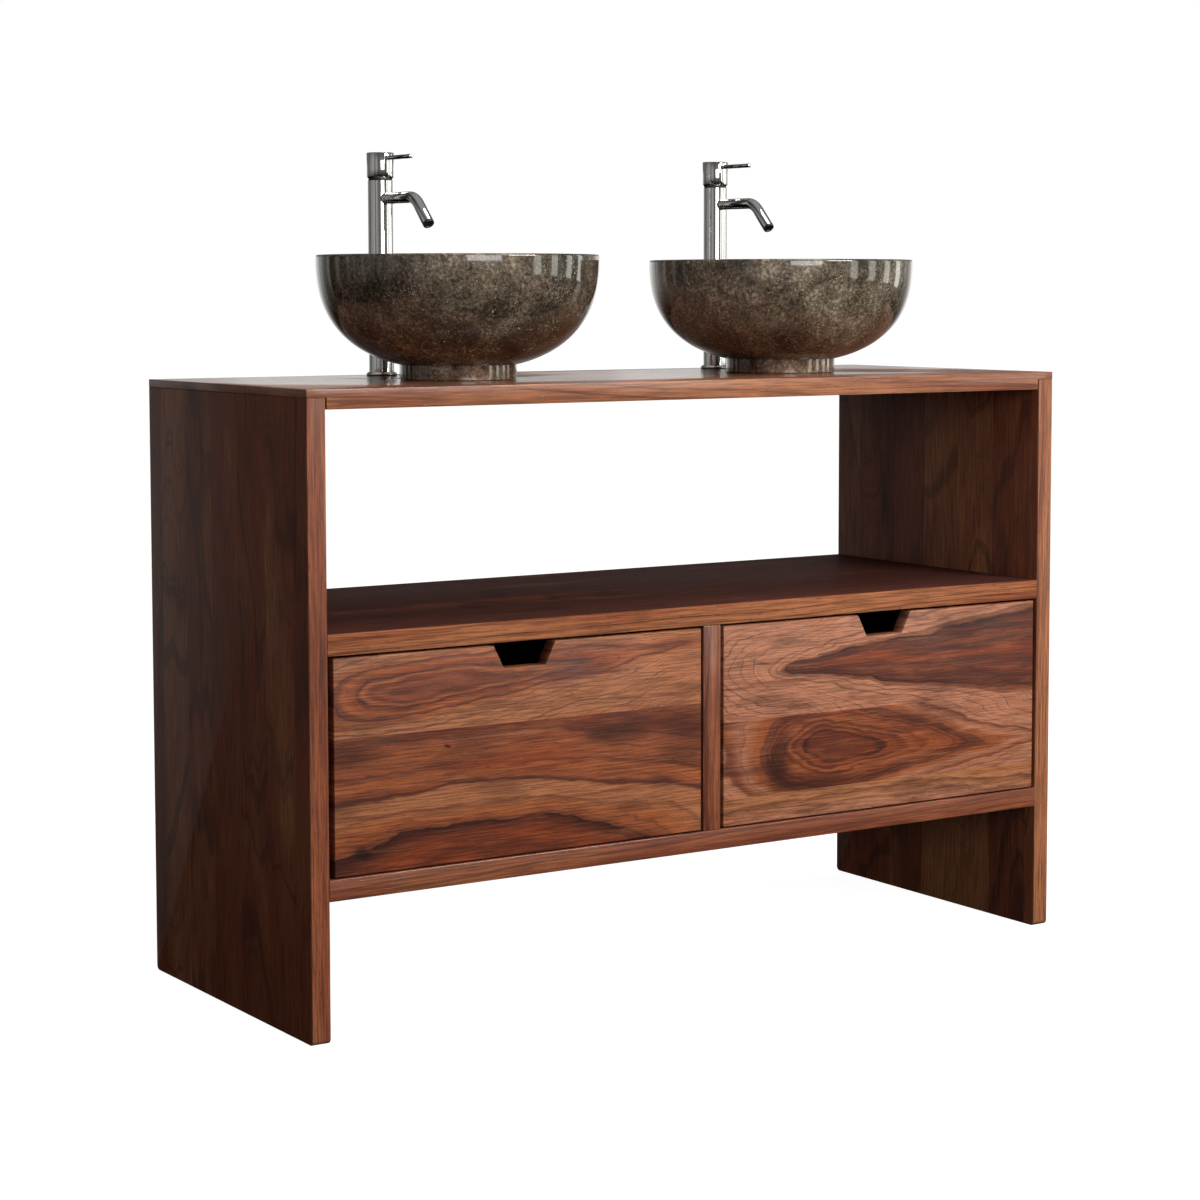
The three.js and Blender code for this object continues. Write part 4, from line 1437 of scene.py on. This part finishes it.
    def spout(self, foot: Vector) -> bpy.types.Object:
        """Makes the spout: out along -Y, one bend, and down to the outlet.

        Args:
            foot: the point on the worktop that the tap stands on.

        Returns:
            The spout.
        """
        deselect()
        bpy.ops.mesh.primitive_circle_add(
            vertices=48, radius=self.spout_radius, fill_type="NOTHING",
            location=foot + Vector((0, -self.spout_root, self.spout_height)), rotation=(math.pi / 2, 0, 0),
        )
        piece = settle(bpy.context.object, "spout")
        edit(piece)
        bpy.ops.mesh.select_all(action="SELECT")
        out = Vector((0, self.spout_root - self.bend_start, 0))
        bpy.ops.mesh.extrude_region_move(TRANSFORM_OT_translate={"value": out})
        hub = foot + Vector((0, -self.bend_start, self.spout_height - self.bend_radius))
        bpy.ops.mesh.spin(steps=16, angle=self.bend, center=hub, axis=(-1, 0, 0))
        down = Vector((0, -math.cos(self.bend), -math.sin(self.bend))) * self.spout_end
        bpy.ops.mesh.extrude_region_move(TRANSFORM_OT_translate={"value": down})
        bpy.ops.mesh.select_all(action="SELECT")
        bpy.ops.mesh.remove_doubles(threshold=1e-6)
        bpy.ops.mesh.normals_make_consistent(inside=False)
        bpy.ops.object.mode_set(mode="OBJECT")
        apply_modifier(piece, "SOLIDIFY", thickness=self.spout_wall, offset=-1.0)
        soften(piece, 0.0003, 2, 60)
        return piece

    def cap(self, foot: Vector) -> bpy.types.Object:
        """Makes the handle's cap: hollow below, chamfered at its lower edge, with a hole for the lever.

        Args:
            foot: the point on the worktop that the tap stands on.

        Returns:
            The cap.
        """
        bottom, top, radius, inner = self.cap_bottom, self.cap_top, self.cap_radius, self.cavity_radius
        outline = [
            (0.0, self.cavity_roof), (inner, self.cavity_roof), (inner, bottom), (radius - 0.0023, bottom),
            (radius - 0.0019, bottom + 0.0003), (radius - 0.0002, bottom + 0.0022), (radius, bottom + 0.0028),
            (radius, top - 0.0009), (radius - 0.0003, top - 0.0003), (radius - 0.0009, top), (0.0, top),
        ]
        piece = turned("cap", outline, foot, 96)
        self.drill(piece, foot + Vector((0, -0.021, self.lever_height)), self.lever_radius, 32)
        return piece

    def shadow_ring(self, foot: Vector) -> bpy.types.Object:
        """Makes the dark ring inside the cap's lower edge, which stays within the sweep of the cap.

        Args:
            foot: the point on the worktop that the tap stands on.

        Returns:
            The liner.
        """
        # painted shade: this dark ring stands for the shade in the gap under the cap's lower edge
        inner, lip, outer, top = 0.0145, 0.0155, 0.0166, self.cap_bottom + 0.0005
        outline = [(inner, top), (inner, 0.2722), (lip, 0.2708), (outer, 0.2716), (outer, top), (inner, top)]
        return turned("shadow_ring", outline, foot)

    def lever(self, foot: Vector) -> bpy.types.Object:
        """Makes the pin lever, with a rounded end.

        Args:
            foot: the point on the worktop that the tap stands on.

        Returns:
            The lever.
        """
        root, reach, radius = self.lever_root, self.lever_reach, self.lever_radius
        outline = [
            (0.0, root), (radius, root), (radius, reach - 0.0009), (radius - 0.0003, reach - 0.0003),
            (radius - 0.0009, reach), (0.0, reach),
        ]
        piece = turned("lever", outline, Vector((0, 0, 0)), 32)
        piece.rotation_euler = (math.pi / 2, 0, 0)
        piece.location = foot + Vector((0, 0, self.lever_height))
        return piece


# ---- studio --------------------------------------------------------------------------------------
@dataclass(frozen=True)
class Studio:
    """Floor, light and camera."""

    eye: Vector = Vector((-2.1142, -3.2219, 0.9301))
    yaw: float = -0.5749
    pitch: float = -0.0768
    roll: float = -0.0017
    lens: float = 82.83
    shift_up: float = -0.0833
    wall: float = 0.85

    def build(self) -> None:
        """Sets up the floor, the lights, the world and the camera."""
        self.floor()
        self.world()
        self.lights()
        self.camera()
        bpy.context.scene.view_settings.view_transform = "Standard"

    def floor(self) -> None:
        """Adds a plain pale floor."""
        deselect()
        bpy.ops.mesh.primitive_plane_add(size=60)
        floor = bpy.context.object
        floor.name = "floor"
        g = Graph.of_material("pale_floor")
        x, y, _ = g.place()
        cloud = g.noise(g.vector(g.times(x, 1.3), g.times(y, 1.3), 0.0), 2.0)
        tint = g.mix(cloud, (0.42, 0.42, 0.42), (0.46, 0.46, 0.46))
        g.surface(tint, 0.9, Emission_Color=(1.0, 1.0, 1.0), Emission_Strength=0.93)
        dress(floor, g.owner)
        floor.visible_glossy = False
        floor.visible_diffuse = False

    def world(self) -> None:
        """Makes a white backdrop for the camera, and a dim room with a bright back wall for all else."""
        world = bpy.data.worlds.new("studio")
        bpy.context.scene.world = world
        g = Graph(world)
        split = g.node("ShaderNodeSeparateXYZ")
        g.feed(split.inputs[0], g.node("ShaderNodeTexCoord").outputs["Generated"])
        x, y, z = split.outputs
        behind = g.times(g.step(y, 0.1, 0.7), g.step(x, -0.45, 0.35))
        sill = g.times(g.times(behind, g.step(z, 0.11, 0.045)), self.wall)
        wall = g.times(behind, 0.10)
        ceiling = g.times(g.step(z, 0.55, 0.95), 0.30)
        front = g.times(g.step(y, -0.2, -0.8), 0.07)
        sides = g.add(g.times(g.step(x, 0.3, 1.0), 0.10), g.times(g.step(x, -0.70, -0.95), 0.14))
        bearing = g.math("ARCTAN2", y, x)
        frames = g.step(g.noise_along(g.times(bearing, 7.0), 3.0, 0.7), 0.48, 0.60)
        frames = g.times(g.times(frames, g.step(z, 0.55, 0.20)), 0.36)
        light = g.add(g.add(g.add(sill, wall), g.add(ceiling, sides)), g.add(g.add(frames, front), 0.03))
        light = g.times(light, g.step(z, -0.30, 0.0))
        room = g.node("ShaderNodeBackground")
        g.feed(room.inputs[0], g.vector(light, g.times(light, 0.985), g.times(light, 0.96)))
        backdrop = g.node("ShaderNodeBackground")
        backdrop.inputs[0].default_value = (1.0, 1.0, 1.0, 1.0)
        both = g.node("ShaderNodeMixShader")
        g.feed(both.inputs[0], g.node("ShaderNodeLightPath").outputs["Is Camera Ray"])
        g.tree.links.new(room.outputs[0], both.inputs[1])
        g.tree.links.new(backdrop.outputs[0], both.inputs[2])
        g.tree.links.new(both.outputs[0], g.node("ShaderNodeOutputWorld").inputs[0])

    def lights(self) -> None:
        """Adds a row of tall window panes at the right, a soft key, a top light and a front fill."""
        for number, bearing in enumerate((-58, -40, -22, -6)):
            turn = math.radians(bearing)
            place = (3.7 * math.cos(turn), 3.7 * math.sin(turn), 1.35)
            self.softbox(f"pane_{number}", place, (0.0, 0.0, 1.35), (0.45, 1.9), 8, (0.98, 1.0, 0.90))
        self.softbox("key", (1.3, -3.6, 2.2), (0.0, 0, 0.4), (1.6, 1.2), 135, (1.0, 0.97, 0.93))
        self.softbox("top", (0.3, -0.9, 3.3), (0.1, 0, 0.8), (1.6, 0.9), 22, (1.0, 1.0, 1.0))
        self.softbox("fill", (-1.0, -4.8, 1.6), (0, 0, 0.5), (2.4, 1.6), 62, (1.0, 0.98, 0.96))

    @staticmethod
    def softbox(
        name: str, place: Sequence[float], aim: Sequence[float], size: tuple[float, float], watts: float,
        tint: Colour,
    ) -> None:
        """Adds one rectangular area light, aimed at a point.

        Args:
            name: the light's name.
            place: its middle.
            aim: the point that it faces.
            size: its width and height.
            watts: its power.
            tint: its colour.
        """
        light = bpy.data.lights.new(name, "AREA")
        light.shape = "RECTANGLE"
        light.size, light.size_y = size
        light.energy = watts
        light.color = tint
        lamp = bpy.data.objects.new(name, light)
        bpy.context.scene.collection.objects.link(lamp)
        lamp.location = place
        lamp.rotation_euler = (Vector(aim) - Vector(place)).to_track_quat("-Z", "Y").to_euler()

    def camera(self) -> None:
        """Adds the camera at the front left, a little above the worktop."""
        lens = bpy.data.cameras.new("camera")
        lens.lens = self.lens
        lens.sensor_width = 36.0
        lens.shift_y = self.shift_up
        camera = bpy.data.objects.new("camera", lens)
        bpy.context.scene.collection.objects.link(camera)
        turn = Matrix.Rotation(self.yaw, 4, "Z") @ Matrix.Rotation(math.pi / 2 + self.pitch, 4, "X")
        camera.matrix_world = Matrix.Translation(self.eye) @ turn @ Matrix.Rotation(self.roll, 4, "Z")
        bpy.context.scene.camera = camera


def main() -> None:
    """Builds the object's looks around the frame."""
    logging.basicConfig(level=logging.INFO, format="%(message)s")
    Studio().build()
    palette = Palette()
    Carcass().build()
    for side, finish, seed in (("left", LEFT_FRONT, 3.0), ("right", RIGHT_FRONT, 8.0)):
        Drawer(side, finish).build(palette)
        Basin(side, seed).build(palette)
    Taps().build(palette)


if __name__ == "__main__":
    main()
